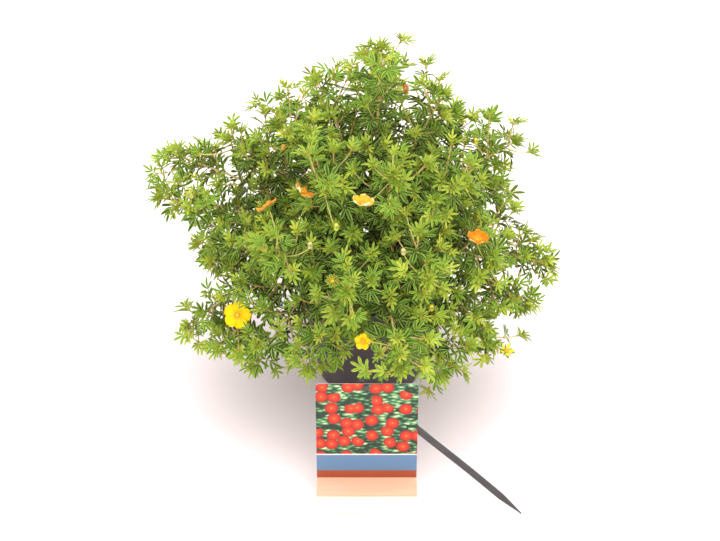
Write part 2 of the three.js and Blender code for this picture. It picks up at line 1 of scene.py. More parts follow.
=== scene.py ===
import math
import bpy
import numpy as np
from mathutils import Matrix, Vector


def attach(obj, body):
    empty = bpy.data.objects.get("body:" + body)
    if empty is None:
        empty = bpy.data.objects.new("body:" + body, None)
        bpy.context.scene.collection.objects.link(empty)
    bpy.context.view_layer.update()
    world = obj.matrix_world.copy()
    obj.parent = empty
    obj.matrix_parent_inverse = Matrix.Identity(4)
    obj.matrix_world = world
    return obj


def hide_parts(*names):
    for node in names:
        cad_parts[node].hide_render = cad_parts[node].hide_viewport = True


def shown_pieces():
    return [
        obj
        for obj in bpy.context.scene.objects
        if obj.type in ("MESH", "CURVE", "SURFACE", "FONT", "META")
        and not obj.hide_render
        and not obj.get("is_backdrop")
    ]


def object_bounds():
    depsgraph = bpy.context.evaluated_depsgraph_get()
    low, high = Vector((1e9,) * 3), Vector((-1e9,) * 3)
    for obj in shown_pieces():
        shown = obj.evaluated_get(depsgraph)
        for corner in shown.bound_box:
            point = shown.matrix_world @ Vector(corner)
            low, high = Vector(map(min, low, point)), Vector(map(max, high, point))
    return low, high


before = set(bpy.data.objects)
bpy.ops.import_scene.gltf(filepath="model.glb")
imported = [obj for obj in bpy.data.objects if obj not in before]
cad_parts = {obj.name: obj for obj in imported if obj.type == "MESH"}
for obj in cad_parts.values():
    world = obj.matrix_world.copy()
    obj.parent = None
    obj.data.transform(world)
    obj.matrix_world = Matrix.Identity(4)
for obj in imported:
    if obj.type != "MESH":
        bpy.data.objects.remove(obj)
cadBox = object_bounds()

# A potted shrubby cinquefoil in bloom with its plant label.
# Lengths are millimetres, and meshes are turned to metres where they are made.
mm = 0.001
goldenAngle = math.radians(137.508)


def vec(*xyz):
    return np.array(xyz, dtype=float)


def unit(v):
    return v / np.linalg.norm(v)


up = vec(0, 0, 1)


def linear(hexColour):
    # sRGB hex to the linear colour that a shader socket takes
    parts = [int(hexColour[i:i + 2], 16) / 255 for i in (1, 3, 5)]
    return (*[c / 12.92 if c <= 0.04045 else ((c + 0.055) / 1.055) ** 2.4 for c in parts], 1.0)


def addNode(tree, kind, settings=None, links=None, values=None):
    # one node with its settings, its plain input values and what feeds it
    node = tree.nodes.new(kind)
    for key, value in (settings or {}).items():
        setattr(node, key, value)
    for key, value in (values or {}).items():
        node.inputs[key].default_value = value
    for key, socket in (links or {}).items():
        tree.links.new(socket, node.inputs[key])
    return node


def newMaterial(name, shaderValues):
    made = bpy.data.materials.new(name)
    made.use_nodes = True
    shader = made.node_tree.nodes["Principled BSDF"]
    for key, value in shaderValues.items():
        shader.inputs[key].default_value = value
    return made, made.node_tree, shader


def setRamp(node, stops):
    # stops of [place, hex colour]
    elements = node.color_ramp.elements
    elements.remove(elements[-1])
    elements[0].position = stops[0][0]
    elements[0].color = linear(stops[0][1])
    for place, colour in stops[1:]:
        elements.new(place).color = linear(colour)
    return node.outputs["Color"]


# Mesh parts gather here until one piece is made of them.
# The look of a point is its tone, how near the rim it is, and 1 where it is on the underside.
# On leaves the tone also carries painted shade and the rim share a painted highlight; on petals the tone also
# carries painted shade in the creases.
def newParts():
    return {"verts": [], "look": [], "faces": [], "count": 0}


def addPart(parts, verts, faces, material=0, look=(0.5, 0.0, 0.0)):
    parts["verts"].append(verts)
    parts["look"].append(np.broadcast_to(look, (len(verts), 3)))
    for group in faces:
        parts["faces"].append((np.asarray(group) + parts["count"], material))
    parts["count"] += len(verts)


def scaleFor(size):
    # the texture scale of a pattern that is this many millimetres wide
    return 1 / (size * mm)


def dress(tree, shader, colour, height=None, strength=0.3, depth=0.3):
    # what a surface shows: its colour, and a fine relief this many millimetres deep
    tree.links.new(colour, shader.inputs["Base Color"])
    if height is not None:
        bump = addNode(tree, "ShaderNodeBump", None, {"Height": height},
                       {"Strength": strength, "Distance": depth * mm})
        tree.links.new(bump.outputs[0], shader.inputs["Normal"])


def speckled(name, shaderValues, size, detail, stops, strength=0.0):
    # a material whose colour drifts through the stops in patches of this many millimetres
    made, tree, shader = newMaterial(name, shaderValues)
    place = addNode(tree, "ShaderNodeTexCoord").outputs["Object"]
    patch = addNode(tree, "ShaderNodeTexNoise", None, {"Vector": place},
                    {"Scale": scaleFor(size), "Detail": detail}).outputs["Fac"]
    ramp = addNode(tree, "ShaderNodeValToRGB", None, {"Fac": patch})
    dress(tree, shader, setRamp(ramp, stops), patch if strength else None, strength)
    return made


def mottledTone(tree, size, detail, swing):
    # the look of each point, a ramp fed by its tone, which patches of so many millimetres move up and down
    # by the swing, then the patches and the place on the piece
    look = addNode(tree, "ShaderNodeAttribute", {"attribute_name": "look"})
    split = addNode(tree, "ShaderNodeSeparateColor", None, {"Color": look.outputs["Color"]})
    place = addNode(tree, "ShaderNodeTexCoord").outputs["Object"]
    patch = addNode(tree, "ShaderNodeTexNoise", None, {"Vector": place},
                    {"Scale": scaleFor(size), "Detail": detail}).outputs["Fac"]
    shift = addNode(tree, "ShaderNodeMapRange", None, {"Value": patch}, {"To Min": -swing, "To Max": swing})
    tone = addNode(tree, "ShaderNodeMath", {"operation": "ADD", "use_clamp": True},
                   {0: split.outputs["Red"], 1: shift.outputs[0]})
    ramp = addNode(tree, "ShaderNodeValToRGB", None, {"Fac": tone.outputs[0]})
    return split.outputs, ramp, patch, place


def placeObject(name, data):
    made = bpy.data.objects.new(name, data)
    bpy.context.scene.collection.objects.link(made)
    return made


def meshOf(name, parts):
    mesh = bpy.data.meshes.new(name)
    faces = [face for group, _ in parts["faces"] for face in group.tolist()]
    mesh.from_pydata((np.concatenate(parts["verts"]) * mm).tolist(), [], faces)
    return mesh


def finishPiece(name, parts, materials, node, sharp=75):
    mesh = meshOf(name, parts)
    picks = np.concatenate([np.full(len(group), pick) for group, pick in parts["faces"]])
    for material in materials:
        mesh.materials.append(material)
    mesh.polygons.foreach_set("material_index", picks.astype(np.int32))
    mesh.polygons.foreach_set("use_smooth", np.ones(len(picks), dtype=bool))
    colours = np.ones((parts["count"], 4), dtype=np.float32)
    colours[:, :3] = np.concatenate(parts["look"])
    mesh.attributes.new("look", "FLOAT_COLOR", "POINT").data.foreach_set("color", colours.ravel())
    mesh.set_sharp_from_angle(angle=math.radians(sharp))
    mesh.update()
    piece = placeObject(name, mesh)
    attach(piece, "root")
    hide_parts(node)
    return piece


def bandFaces(sides, rings, start=0):
    # the four-cornered faces between closed rings of points that follow each other
    a = np.arange(sides)
    b = (a + 1) % sides
    rows = [np.stack([a, b, b + sides, a + sides], 1) + i * sides for i in range(rings - 1)]
    return np.concatenate(rows) + start


def tubeMesh(points, radii, sides):
    # rings carried along the points without a twist, with closed ends
    points = np.asarray(points)
    turns = 2 * np.pi * np.arange(sides) / sides
    across = vec(1, 0, 0)
    rings = []
    for i, point in enumerate(points):
        along = unit(points[min(i + 1, len(points) - 1)] - points[max(i - 1, 0)])
        across = across - along * across.dot(along)
        if np.linalg.norm(across) < 1e-3:
            across = np.cross(along, vec(0, 1, 0.1))
        across = unit(across)
        beside = np.cross(along, across)
        rings.append(point + radii[i] * (np.outer(np.cos(turns), across) + np.outer(np.sin(turns), beside)))
    first = np.arange(sides)[::-1][None, :]
    last = (np.arange(sides) + (len(points) - 1) * sides)[None, :]
    return np.concatenate(rings), [bandFaces(sides, len(points)), first, last]


def latheMesh(profile, sides):
    # a profile of [radius, height] that starts and ends on the axis, turned about it
    turns = 2 * np.pi * np.arange(sides) / sides
    ring = np.stack([np.cos(turns), np.sin(turns), np.zeros(sides)], 1)
    rings = [ring * r + vec(0, 0, z) for r, z in profile[1:-1]]
    verts = np.concatenate([vec(0, 0, profile[0][1])[None], *rings, vec(0, 0, profile[-1][1])[None]])
    a = np.arange(sides)
    b = (a + 1) % sides
    end = 1 + len(rings) * sides
    first = np.stack([np.zeros(sides, int), b + 1, a + 1], 1)
    last = np.stack([np.full(sides, end), a + end - sides, b + end - sides], 1)
    return verts, [first, bandFaces(sides, len(rings), 1), last]


def rounded(profile, size, steps=4):
    # the profile with each inner corner turned into a short curve of about this size
    points = [vec(*p) for p in profile]
    made = [points[0]]
    for before, corner, after in zip(points, points[1:], points[2:]):
        near = min(size, 0.45 * np.linalg.norm(before - corner), 0.45 * np.linalg.norm(after - corner))
        start = corner + unit(before - corner) * near
        end = corner + unit(after - corner) * near
        for t in np.linspace(0, 1, steps):
            made.append((1 - t) ** 2 * start + 2 * t * (1 - t) * corner + t * t * end)
    return [*made, points[-1]]


def sheetMesh(top, drop):
    # a closed sheet between a grid of points and the same grid moved by drop
    rows, columns = top.shape[:2]
    count = rows * columns
    grid = np.arange(count).reshape(rows, columns)
    quads = np.stack([grid[:-1, :-1], grid[1:, :-1], grid[1:, 1:], grid[:-1, 1:]], -1).reshape(-1, 4)
    border = np.concatenate([grid[:-1, 0], grid[-1, :-1], grid[:0:-1, -1], grid[0, :0:-1]])
    following = np.roll(border, -1)
    rim = np.stack([border + count, following + count, following, border], 1)
    flat = top.reshape(-1, 3)
    return np.concatenate([flat, flat + drop]), [quads, quads[:, ::-1] + count, rim]


# The camera looks down on the plant as the photograph does.
shot = {"at": (-12.5, -1612, 1190), "down": 33.0, "lens": 80.0, "sensor": 36, "farthest": 50}


def makeCamera():
    made = bpy.data.cameras.new("camera")
    made.lens = shot["lens"]
    made.sensor_width = shot["sensor"]
    made.clip_end = shot["farthest"]
    holder = placeObject("camera", made)
    holder.location = [c * mm for c in shot["at"]]
    holder.rotation_euler = (math.radians(90 - shot["down"]), 0, 0)
    bpy.context.scene.camera = holder


# Pale studio: a wide matt floor, a big soft light above and behind, and a bright room around.
studio = {
    "floorRadius": 7000, "floorSides": 96, "floorColour": "#fff1f3", "room": "#ffffff", "roomStrength": 1.16,
}
lamps = [
    {"name": "skyPanel", "at": (150, 400, 2400), "aim": (0, 0, 150), "size": 2600, "watts": 36},
    {"name": "frontPanel", "at": (350, -2000, 1700), "aim": (0, 0, 150), "size": 2000, "watts": 24},
]


def makeStudio():
    sides = studio["floorSides"]
    turns = np.linspace(0, 2 * np.pi, sides, endpoint=False)
    ring = np.stack([np.cos(turns), np.sin(turns), np.zeros(sides)], 1) * studio["floorRadius"] * mm
    mesh = bpy.data.meshes.new("floor")
    mesh.from_pydata(ring.tolist(), [], [list(range(sides))])
    finish = {"Base Color": linear(studio["floorColour"]), "Roughness": 0.9}
    mesh.materials.append(newMaterial("paintedFloorMatt", finish)[0])
    placeObject("floor", mesh)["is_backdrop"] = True
    for lamp in lamps:
        light = bpy.data.lights.new(lamp["name"], "AREA")
        light.size = lamp["size"] * mm
        light.energy = lamp["watts"]
        holder = placeObject(lamp["name"], light)
        holder.location = [c * mm for c in lamp["at"]]
        facing = vec(*lamp["at"]) - vec(*lamp["aim"])
        level = math.hypot(facing[0], facing[1])
        holder.rotation_euler = (math.atan2(level, facing[2]), 0, math.atan2(facing[0], -facing[1]))
    world = bpy.data.worlds.new("room")
    world.use_nodes = True
    background = world.node_tree.nodes["Background"]
    background.inputs["Color"].default_value = linear(studio["room"])
    background.inputs["Strength"].default_value = studio["roomStrength"]
    bpy.context.scene.world = world
    bpy.context.scene.view_settings.view_transform = "Standard"


makeCamera()
makeStudio()
print("camera and studio made")

# Pot, with the sizes that its solid has
pot = {
    "height": 140, "baseRadius": 64, "shoulderRadius": 83, "shoulderHeight": 112, "bandRadius": 86.5,
    "rimRadius": 87.8, "lipRadius": 90, "lipHeight": 4, "wall": 2, "floor": 2.5, "foot": 3,
    "drainHoles": 4, "drainRadius": 5, "drainCircle": 42, "drainSides": 28, "sides": 128, "edgeRound": 1.2,
    "wallRoom": 8,
}
soil = {
    "edge": 122, "crown": 127, "clear": 2.8, "overFloor": 0.3, "rings": 30, "sides": 120, "tone": 0.55,
    "waves": 10, "waveSizes": (4, 16), "waveHeight": 0.35, "crumb": 0.5,
    "chips": 420, "chipLeast": 1.5, "chipMost": 5, "chipRise": (-0.3, 0.8),
    "chipTilt": 0.25, "chipWidths": (0.2, 0.5), "chipBend": 0.2,
}


def potRadius(z):
    slope = (pot["shoulderRadius"] - pot["baseRadius"]) / pot["shoulderHeight"]
    cone = pot["baseRadius"] + slope * np.maximum(z, 0)
    return np.where(z > pot["shoulderHeight"], pot["lipRadius"], cone)


def soilTop(x, y):
    share = (x * x + y * y) / pot["shoulderRadius"] ** 2
    return soil["edge"] + (soil["crown"] - soil["edge"]) * np.maximum(0, 1 - share)


def potPlastic():
    # recycled polypropylene, matt moulded: dark brown-grey with a faint cloudy bloom and fine grain
    made, tree, shader = newMaterial("recycledPolypropyleneMoulded", {"Roughness": 0.52, "IOR": 1.49})
    place = addNode(tree, "ShaderNodeTexCoord").outputs["Object"]
    cloud = addNode(tree, "ShaderNodeTexNoise", None, {"Vector": place},
                    {"Scale": scaleFor(30), "Detail": 3.0})
    ramp = addNode(tree, "ShaderNodeValToRGB", None, {"Fac": cloud.outputs["Fac"]})
    grain = addNode(tree, "ShaderNodeTexNoise", None, {"Vector": place},
                    {"Scale": scaleFor(1.2), "Detail": 2.0})
    rings = addNode(tree, "ShaderNodeMapping", None, {"Vector": place},
                    {"Scale": (scaleFor(200), scaleFor(200), scaleFor(4))})
    lines = addNode(tree, "ShaderNodeTexNoise", None, {"Vector": rings.outputs[0]},
                    {"Scale": 1.0, "Detail": 2.0})
    both = addNode(tree, "ShaderNodeMath", {"operation": "ADD"},
                   {0: grain.outputs["Fac"], 1: lines.outputs["Fac"]})
    dress(tree, shader, setRamp(ramp, [(0.3, "#3f3839"), (0.7, "#4d4547")]), both.outputs[0], 0.25, 0.4)
    return made


def makePot():
    base, shoulder, top = pot["baseRadius"], pot["shoulderRadius"], pot["height"]
    shoulderHeight, wall, floor = pot["shoulderHeight"], pot["wall"], pot["floor"]
    lipFoot = top - pot["lipHeight"]
    profile = [
        (0, 0), (base - pot["foot"], 0), (base, pot["foot"]), (shoulder, shoulderHeight),
        (pot["bandRadius"], shoulderHeight + 2), (pot["rimRadius"], lipFoot - 1), (pot["lipRadius"], lipFoot),
        (pot["lipRadius"], top), (pot["rimRadius"] - wall, top),
        (pot["bandRadius"] - wall, shoulderHeight + 2), (shoulder - wall, shoulderHeight - 2),
        (base - wall, floor), (0, floor),
    ]
    parts = newParts()
    addPart(parts, *latheMesh(rounded(profile, pot["edgeRound"]), pot["sides"]))
    piece = finishPiece("potShell", parts, [potPlastic()], "pot", sharp=60)
    drills = newParts()
    for i in range(pot["drainHoles"]):
        turn = 2 * math.pi * (i + 0.5) / pot["drainHoles"]
        x, y = pot["drainCircle"] * math.cos(turn), pot["drainCircle"] * math.sin(turn)
        ends = [vec(x, y, -2 * floor), vec(x, y, 2 * floor)]
        addPart(drills, *tubeMesh(ends, [pot["drainRadius"]] * 2, pot["drainSides"]))
    cutter = placeObject("drills", meshOf("drills", drills))
    cut = piece.modifiers.new("drainHoles", "BOOLEAN")
    cut.operation = "DIFFERENCE"
    cut.object = cutter
    graph = bpy.context.evaluated_depsgraph_get()
    drilled = bpy.data.meshes.new_from_object(piece.evaluated_get(graph))
    piece.modifiers.clear()
    piece.data = drilled
    bpy.data.objects.remove(cutter)


def peatCompost():
    # peat compost, loose: almost black brown crumbs with paler fibre and bark bits
    made, tree, shader = newMaterial("peatCompostLoose", {"Roughness": 0.95})
    place = addNode(tree, "ShaderNodeTexCoord").outputs["Object"]
    crumb = addNode(tree, "ShaderNodeTexNoise", None, {"Vector": place},
                    {"Scale": scaleFor(4), "Detail": 6.0}).outputs["Fac"]
    look = addNode(tree, "ShaderNodeAttribute", {"attribute_name": "look"})
    tone = addNode(tree, "ShaderNodeSeparateColor", None, {"Color": look.outputs["Color"]}).outputs["Red"]
    mixed = addNode(tree, "ShaderNodeMath", {"operation": "MULTIPLY"}, {0: crumb, 1: tone})
    ramp = addNode(tree, "ShaderNodeValToRGB", None, {"Fac": mixed.outputs[0]})
    stops = [(0.1, "#1d140f"), (0.3, "#3a281c"), (0.55, "#6d4c33"), (0.8, "#9a7450")]
    dress(tree, shader, setRamp(ramp, stops), crumb, 0.8, 1.0)
    return made


def makeSoil():
    draw = np.random.default_rng(11)
    inside = {key: pot[key] - soil["clear"] for key in ("baseRadius", "shoulderRadius", "bandRadius")}
    bottom = pot["floor"] + soil["overFloor"]
    outer = inside["bandRadius"] - 1
    profile = [(0, bottom), (inside["baseRadius"], bottom)]
    profile += [(inside["shoulderRadius"], pot["shoulderHeight"] - 2)]
    profile += [(r, float(soilTop(r, 0))) for r in np.linspace(outer, 2, soil["rings"])]
    verts, faces = latheMesh([*profile, (0, soil["crown"])], soil["sides"])
    top = verts[:, 2] > soil["edge"] - 1
    waves = draw.uniform(0, 2 * np.pi, (soil["waves"], 2))
    sizes = draw.uniform(*soil["waveSizes"], soil["waves"])
    heading = draw.uniform(0, np.pi, soil["waves"])
    for size, turn, (a, b) in zip(sizes, heading, waves):
        run = verts[:, 0] * math.cos(turn) + verts[:, 1] * math.sin(turn)
        side = verts[:, 1] * math.cos(turn) - verts[:, 0] * math.sin(turn)
        verts[top, 2] += (soil["waveHeight"] * np.sin(run / size + a) * np.cos(side / size + b))[top]
    verts[top, 2] += draw.uniform(-soil["crumb"], soil["crumb"], top.sum())
    parts = newParts()
    addPart(parts, verts, faces, look=(soil["tone"], 0, 0))
    for _ in range(soil["chips"]):
        reach = (outer - soil["chipMost"] - 1) * math.sqrt(draw.uniform(0, 1))
        turn = draw.uniform(0, 2 * np.pi)
        x, y = reach * math.cos(turn), reach * math.sin(turn)
        half = draw.uniform(soil["chipLeast"], soil["chipMost"])
        middle = vec(x, y, float(soilTop(x, y)) + draw.uniform(*soil["chipRise"]))
        along = unit(draw.normal(size=3) * vec(1, 1, soil["chipTilt"])) * half
        width = half * draw.uniform(*soil["chipWidths"])
        points = [middle - along, middle + draw.normal(size=3) * soil["chipBend"] * half, middle + along]
        radii = [width * draw.uniform(0.3, 0.9), width, width * draw.uniform(0.2, 0.8)]
        addPart(parts, *tubeMesh(points, radii, 4), look=(draw.uniform(0.5, 1.5), 0, 0))
    finishPiece("compost", parts, [peatCompost()], "potting_soil", sharp=40)


makePot()
makeSoil()
print("pot and compost made")

# Plant skeleton: the same woody stems, flower stalks and side shoots as the solids, from the same rule
stem = {
    "lowSpread": 0.2, "highSpread": 0.11, "lowest": 95, "highest": 452, "endLeaf": 18, "depth": 9,
    "collar": 3, "steps": 4, "lowTip": 230, "lowRange": 130,
    "firstOut": 0.14, "firstUp": 0.4, "firstLift": 50, "firstArch": 62,
    "secondOut": 0.62, "secondDown": 0.25, "secondLift": 10, "secondArch": 34, "wander": 10,
    "fineSteps": 20, "rootRadius": 2.4, "tipRadius": 0.75, "sides": 8, "bareSteps": 6,
    "coreShare": 0.9,
}
shoot = {
    "places": (0.56, 0.78), "lengths": (62, 52), "leanLeast": 36, "leanMost": 62,
    "bend": 0.5, "rest": 0.45, "lift": 0.2, "candidates": 14, "room": 46,
    "reach": 0.9, "beyond": 400, "blocked": 500, "clear": 12, "bloomClear": 9, "ownCounts": 0.5,
}
stalk = {
    "shortest": 30, "droop": 30, "first": 0.35, "last": 0.95, "step": 0.02, "bend": 0.6, "sag": 0.12,
    "calyxHeight": 4, "sunk": 1.8, "back": 0.7, "budSunk": 0.6, "steps": 6, "radii": (0.8, 0.6),
}
# the plant's outer surface: round its heart, each way as far as the nearest stem tips reach
crown = {"heart": (-6, -5, 190), "spread": 0.035, "leafMost": 1.07, "leafLeast": 0.56}
stemTips = [
    (12, 0, 452), (87, -15, 399), (-66, 0, 411), (-112, -40, 372), (5, 92, 392),
    (-175, 0, 331), (-245, 10, 305), (-65, -120, 335), (25, -125, 350), (110, -90, 325),
    (178, 5, 325), (112, 105, 312), (10, 175, 300), (-105, 125, 312),
    (-258, -25, 262), (-198, -55, 190), (-120, -150, 255), (-28, -200, 240), (68, -175, 240),
    (150, -110, 225), (225, -20, 160), (170, 90, 220), (85, 190, 210), (-40, 215, 200), (-165, 125, 225),
    (-225, -100, 121), (-142, -150, 95), (-74, -190, 118), (32, -250, 165), (86, -180, 103),
    (152, -130, 111), (140, 150, 120), (0, 225, 110), (-130, 185, 115), (-215, 50, 130),
    (-184, -128, 108), (196, -72, 132),
]
heart = vec(*crown["heart"])
tipReaches = np.linalg.norm(np.array(stemTips) - heart, axis=1)
tipWays = (np.array(stemTips) - heart) / tipReaches[:, None]
card = {
    "width": 111, "height": 140, "thick": 0.8, "corner": 5, "x": -5, "y": -240, "foot": 14, "pegHole": 2.7,
}
block = {
    "height": 24, "front": -273, "back": -228, "slotDepth": 10.3, "slotClear": 0.3,
    "ease": 0.8, "endEase": 0.5,
}
stake = {
    "width": 8, "thick": 2.2, "pegRadius": 2.2, "capRadius": 3.6, "capThick": 1.2, "pointLength": 34,
    "route": [(-13, -236.4, 156.3), (-6, -236.4, 149), (51, -236.6, 89), (110, -252, 42), (166, -274, 0.7)],
    "steps": 60, "blunt": 0.12, "capClear": 0.3, "overFloor": 0.02, "room": 5,
}

# Open flowers: centre, the way each faces, petal length and rise, half width of a petal as a share of it,
# how crumpled, how far the front petals curl up, length of the sepals as a share, and the colours seen
# The flush colour is the warm eye and also painted shade in the petal creases
blooms = [
    {
        "node": "bloom_yellow_open", "at": (-152, -110, 154), "faces": (-0.1, -0.85, 0.5),
        "radius": 17, "cup": 2,
        "width": 0.45, "crumple": 0.11, "curl": 0.0, "sepal": 0.5, "slot": "petals_yellow",
        "petal": "#ffdb00", "flushAndCreaseShade": "#f6c206", "rim": "#ffe922", "back": "#efdc50",
    },
    {
        "node": "bloom_cream_orange", "at": (-10, -130, 313), "faces": (0.1, -0.1, 0.99),
        "radius": 12.5, "cup": 5,
        "width": 0.47, "crumple": 0.08, "curl": 6.0, "sepal": 0.55, "slot": "petals_yellow",
        "petal": "#f9b22e", "flushAndCreaseShade": "#ee9412", "rim": "#fbe9a6", "back": "#f8f0bc",
    },
    {
        "node": "bloom_orange_cream", "at": (118, -100, 249), "faces": (0.1, -0.15, 0.98),
        "radius": 13, "cup": 4,
        "width": 0.46, "crumple": 0.1, "curl": 3.6, "sepal": 0.6, "slot": "petals_orange",
        "petal": "#e08206", "flushAndCreaseShade": "#f2bc1c", "rim": "#f4b040", "back": "#fae6ae",
    },
    {
        "node": "bloom_orange_edge", "at": (-113, -110, 297), "faces": (-0.56, 0.45, 0.7),
        "radius": 13.5, "cup": 3,
        "width": 0.4, "crumple": 0.12, "curl": 1.5, "sepal": 0.6, "slot": "petals_orange",
        "petal": "#db7c10", "flushAndCreaseShade": "#d26a0a", "rim": "#eb9528", "back": "#f0a446",
    },
    {
        "node": "bloom_orange_red", "at": (-75, -110, 316), "faces": (0.63, 0.13, 0.84),
        "radius": 12.5, "cup": 3,
        "width": 0.38, "crumple": 0.16, "curl": 1.5, "sepal": 0.6, "slot": "petals_orange",
        "petal": "#e28416", "flushAndCreaseShade": "#eeae24", "rim": "#eda02c", "back": "#f6dfa0",
    },
    {
        "node": "bloom_golden", "at": (-9, -215, 192), "faces": (-0.3, -0.8, 0.4),
        "radius": 9.5, "cup": 3,
        "width": 0.42, "crumple": 0.15, "curl": 0.0, "sepal": 0.6, "slot": "petals_yellow",
        "petal": "#f9c708", "flushAndCreaseShade": "#e8960c", "rim": "#fbd93a", "back": "#efd050",
    },
    {
        "node": "bloom_small_star", "at": (-42, -185, 250), "faces": (0, -0.7, 0.7),
        "radius": 8.5, "cup": 2,
        "width": 0.14, "crumple": 0.14, "curl": 0.0, "sepal": 0.8, "slot": "petals_yellow",
        "petal": "#a58e2a", "flushAndCreaseShade": "#86762a", "rim": "#c2b252", "back": "#b8a458",
    },
    {
        "node": "bloom_half_open", "at": (154, -130, 118), "faces": (0.3, -0.5, 0.8),
        "radius": 8.5, "cup": 5,
        "width": 0.24, "crumple": 0.06, "curl": 0.0, "sepal": 1.15, "slot": "petals_yellow",
        "petal": "#efe23c", "flushAndCreaseShade": "#d79a1c", "rim": "#f3ec7a", "back": "#e9e27c",
    },
]
bloomAt = np.array([bloom["at"] for bloom in blooms], dtype=float)
bloomReach = np.array([bloom["radius"] for bloom in blooms])

# Buds and spent blooms: centre, radius and colour, from 0 red-orange through yellow to 1 cream
buds = [
    (38, -20, 396, 3.6, 0.0), (-244, -20, 262, 3.4, 0.5), (-38, -150, 296, 3.6, 0.75),
    (34, -160, 271, 3.4, 1.0), (-66, -160, 279, 3.4, 1.0), (118, -20, 330, 3.2, 0.5),
]
laterBuds = [(66, -160, 198, 3.4, 0.5), (88, -160, 124, 3.2, 0.55), (-97, -60, 344, 3.0, 0.25)]


def seededDraws(start):
    # the generator of seeded draws that the solids' rule has
    state = start * 7919

    def draw():
        nonlocal state
        state = (state + 0x6d2b79f5) & 0xffffffff
        mixed = ((state ^ (state >> 15)) * (1 | state)) & 0xffffffff
        mixed = ((mixed + (((mixed ^ (mixed >> 7)) * (61 | mixed)) & 0xffffffff)) & 0xffffffff) ^ mixed
        return (mixed ^ (mixed >> 14)) / 4294967296
    return draw


def pointAlong(points, share):
    lengths = [np.linalg.norm(b - a) for a, b in zip(points, points[1:])]
    left = share * sum(lengths)
    i = 0
    while i < len(lengths) - 1 and left > lengths[i]:
        left -= lengths[i]
        i += 1
    along = unit(points[i + 1] - points[i])
    return points[i] + along * left, along


def bezier(a, b, c, d, steps):
    t = np.linspace(0, 1, steps + 1)[:, None]
    return list((1 - t) ** 3 * a + 3 * t * (1 - t) ** 2 * b + 3 * t * t * (1 - t) * c + t ** 3 * d)


def makeStem(number, tipPlace):
    draw = seededDraws(number + 1)
    tip = vec(*tipPlace)
    share = (tip[2] - stem["lowest"]) / (stem["highest"] - stem["lowest"])
    spread = stem["lowSpread"] + share * (stem["highSpread"] - stem["lowSpread"])
    root = vec(tip[0] * spread, tip[1] * spread, 0)
    root[2] = soilTop(root[0], root[1])
    outward = vec(tip[0] - root[0], tip[1] - root[1], 0)
    rise = max(tip[2] - root[2], 0)
    low = min(max((stem["lowTip"] - tip[2]) / stem["lowRange"], 0), 1)
    first = root + outward * stem["firstOut"]
    first[2] = root[2] + stem["firstUp"] * rise + stem["firstLift"] + stem["firstArch"] * low
    second = root + outward * stem["secondOut"]
    second[2] = tip[2] - stem["secondDown"] * rise + stem["secondLift"] + stem["secondArch"] * low
    second[0] += stem["wander"] * (draw() - 0.5)
    second[1] += stem["wander"] * (draw() - 0.5)
    end = tip - stem["endLeaf"] * unit(tip - second)
    start = root + up * stem["collar"]
    foot = root - up * stem["depth"]
    return {
        "number": number, "draw": draw, "main": [foot, *bezier(start, first, second, end, stem["steps"])],
        "fine": [foot, *bezier(start, first, second, end, stem["fineSteps"])],
        "side": [], "stalks": [], "leaves": [],
    }


def addStalk(stems, centre, faces, standOff):
    # a flower or bud hangs on a stalk from the nearest woody stem
    end = centre - faces * standOff
    best = (np.inf, None, None)
    for owner in stems:
        share = stalk["first"]
        while share < stalk["last"]:
            point, _ = pointAlong(owner["main"], share)
            distance = np.linalg.norm(point - end)
            if point[2] < end[2] + stalk["droop"] and distance > stalk["shortest"] and distance < best[0]:
                best = (distance, owner, point)
            share += stalk["step"]
    distance, owner, point = best
    middle = point + (end - point) * stalk["bend"] - faces * stalk["sag"] * distance
    owner["stalks"].append([point, middle, end])
    return owner


def keptOut(points, margin):
    # true for the points in the pot's wall, the soil, the card, its block or the floor, or that near them
    x, y, z = np.atleast_2d(points).T
    reach = np.hypot(x, y)
    nearPot = (z < pot["height"] + margin) & (reach < potRadius(z) + margin)
    inPot = nearPot & ((reach > potRadius(z) - pot["wallRoom"]) | (z < soilTop(x, y) + margin))
    across = np.abs(x - card["x"]) < card["width"] / 2 + margin
    before = y < block["back"] + margin
    inCard = across & (z < card["foot"] + card["height"] + margin) & before & (y > card["y"] - margin)
    inBlock = across & (z < block["height"] + margin) & before
    return inPot | inCard | inBlock | (z < margin)


def nearestTo(p, points):
    return np.sqrt(((points - p) ** 2).sum(1).min())


def samples(points):
    # points at each tenth of a branch, by which others keep off it
    found = []
    share = 0.1
    while share <= 1.001:
        found.append(pointAlong(points, share)[0])
        share += 0.1
    return np.array(found)


def reachShare(points):
    # how far out points are, where 1 is on the crown's surface: tips in their own direction count most
    away = np.atleast_2d(points) - heart
    distance = np.linalg.norm(away, axis=1)
    weights = np.exp((away @ tipWays.T / distance[:, None] - 1) / crown["spread"])
    return distance * weights.sum(1) / (weights @ tipReaches)


def turned(along, lean, roll):
    # a direction that leans away from another by one angle, rolled about it by a second
    side = unit(vec(along[1], -along[0], 0.001))
    across = unit(side - along * side.dot(along))
    across = across * math.cos(roll) + np.cross(along, across) * math.sin(roll)
    return along * math.cos(lean) + across * math.sin(lean)


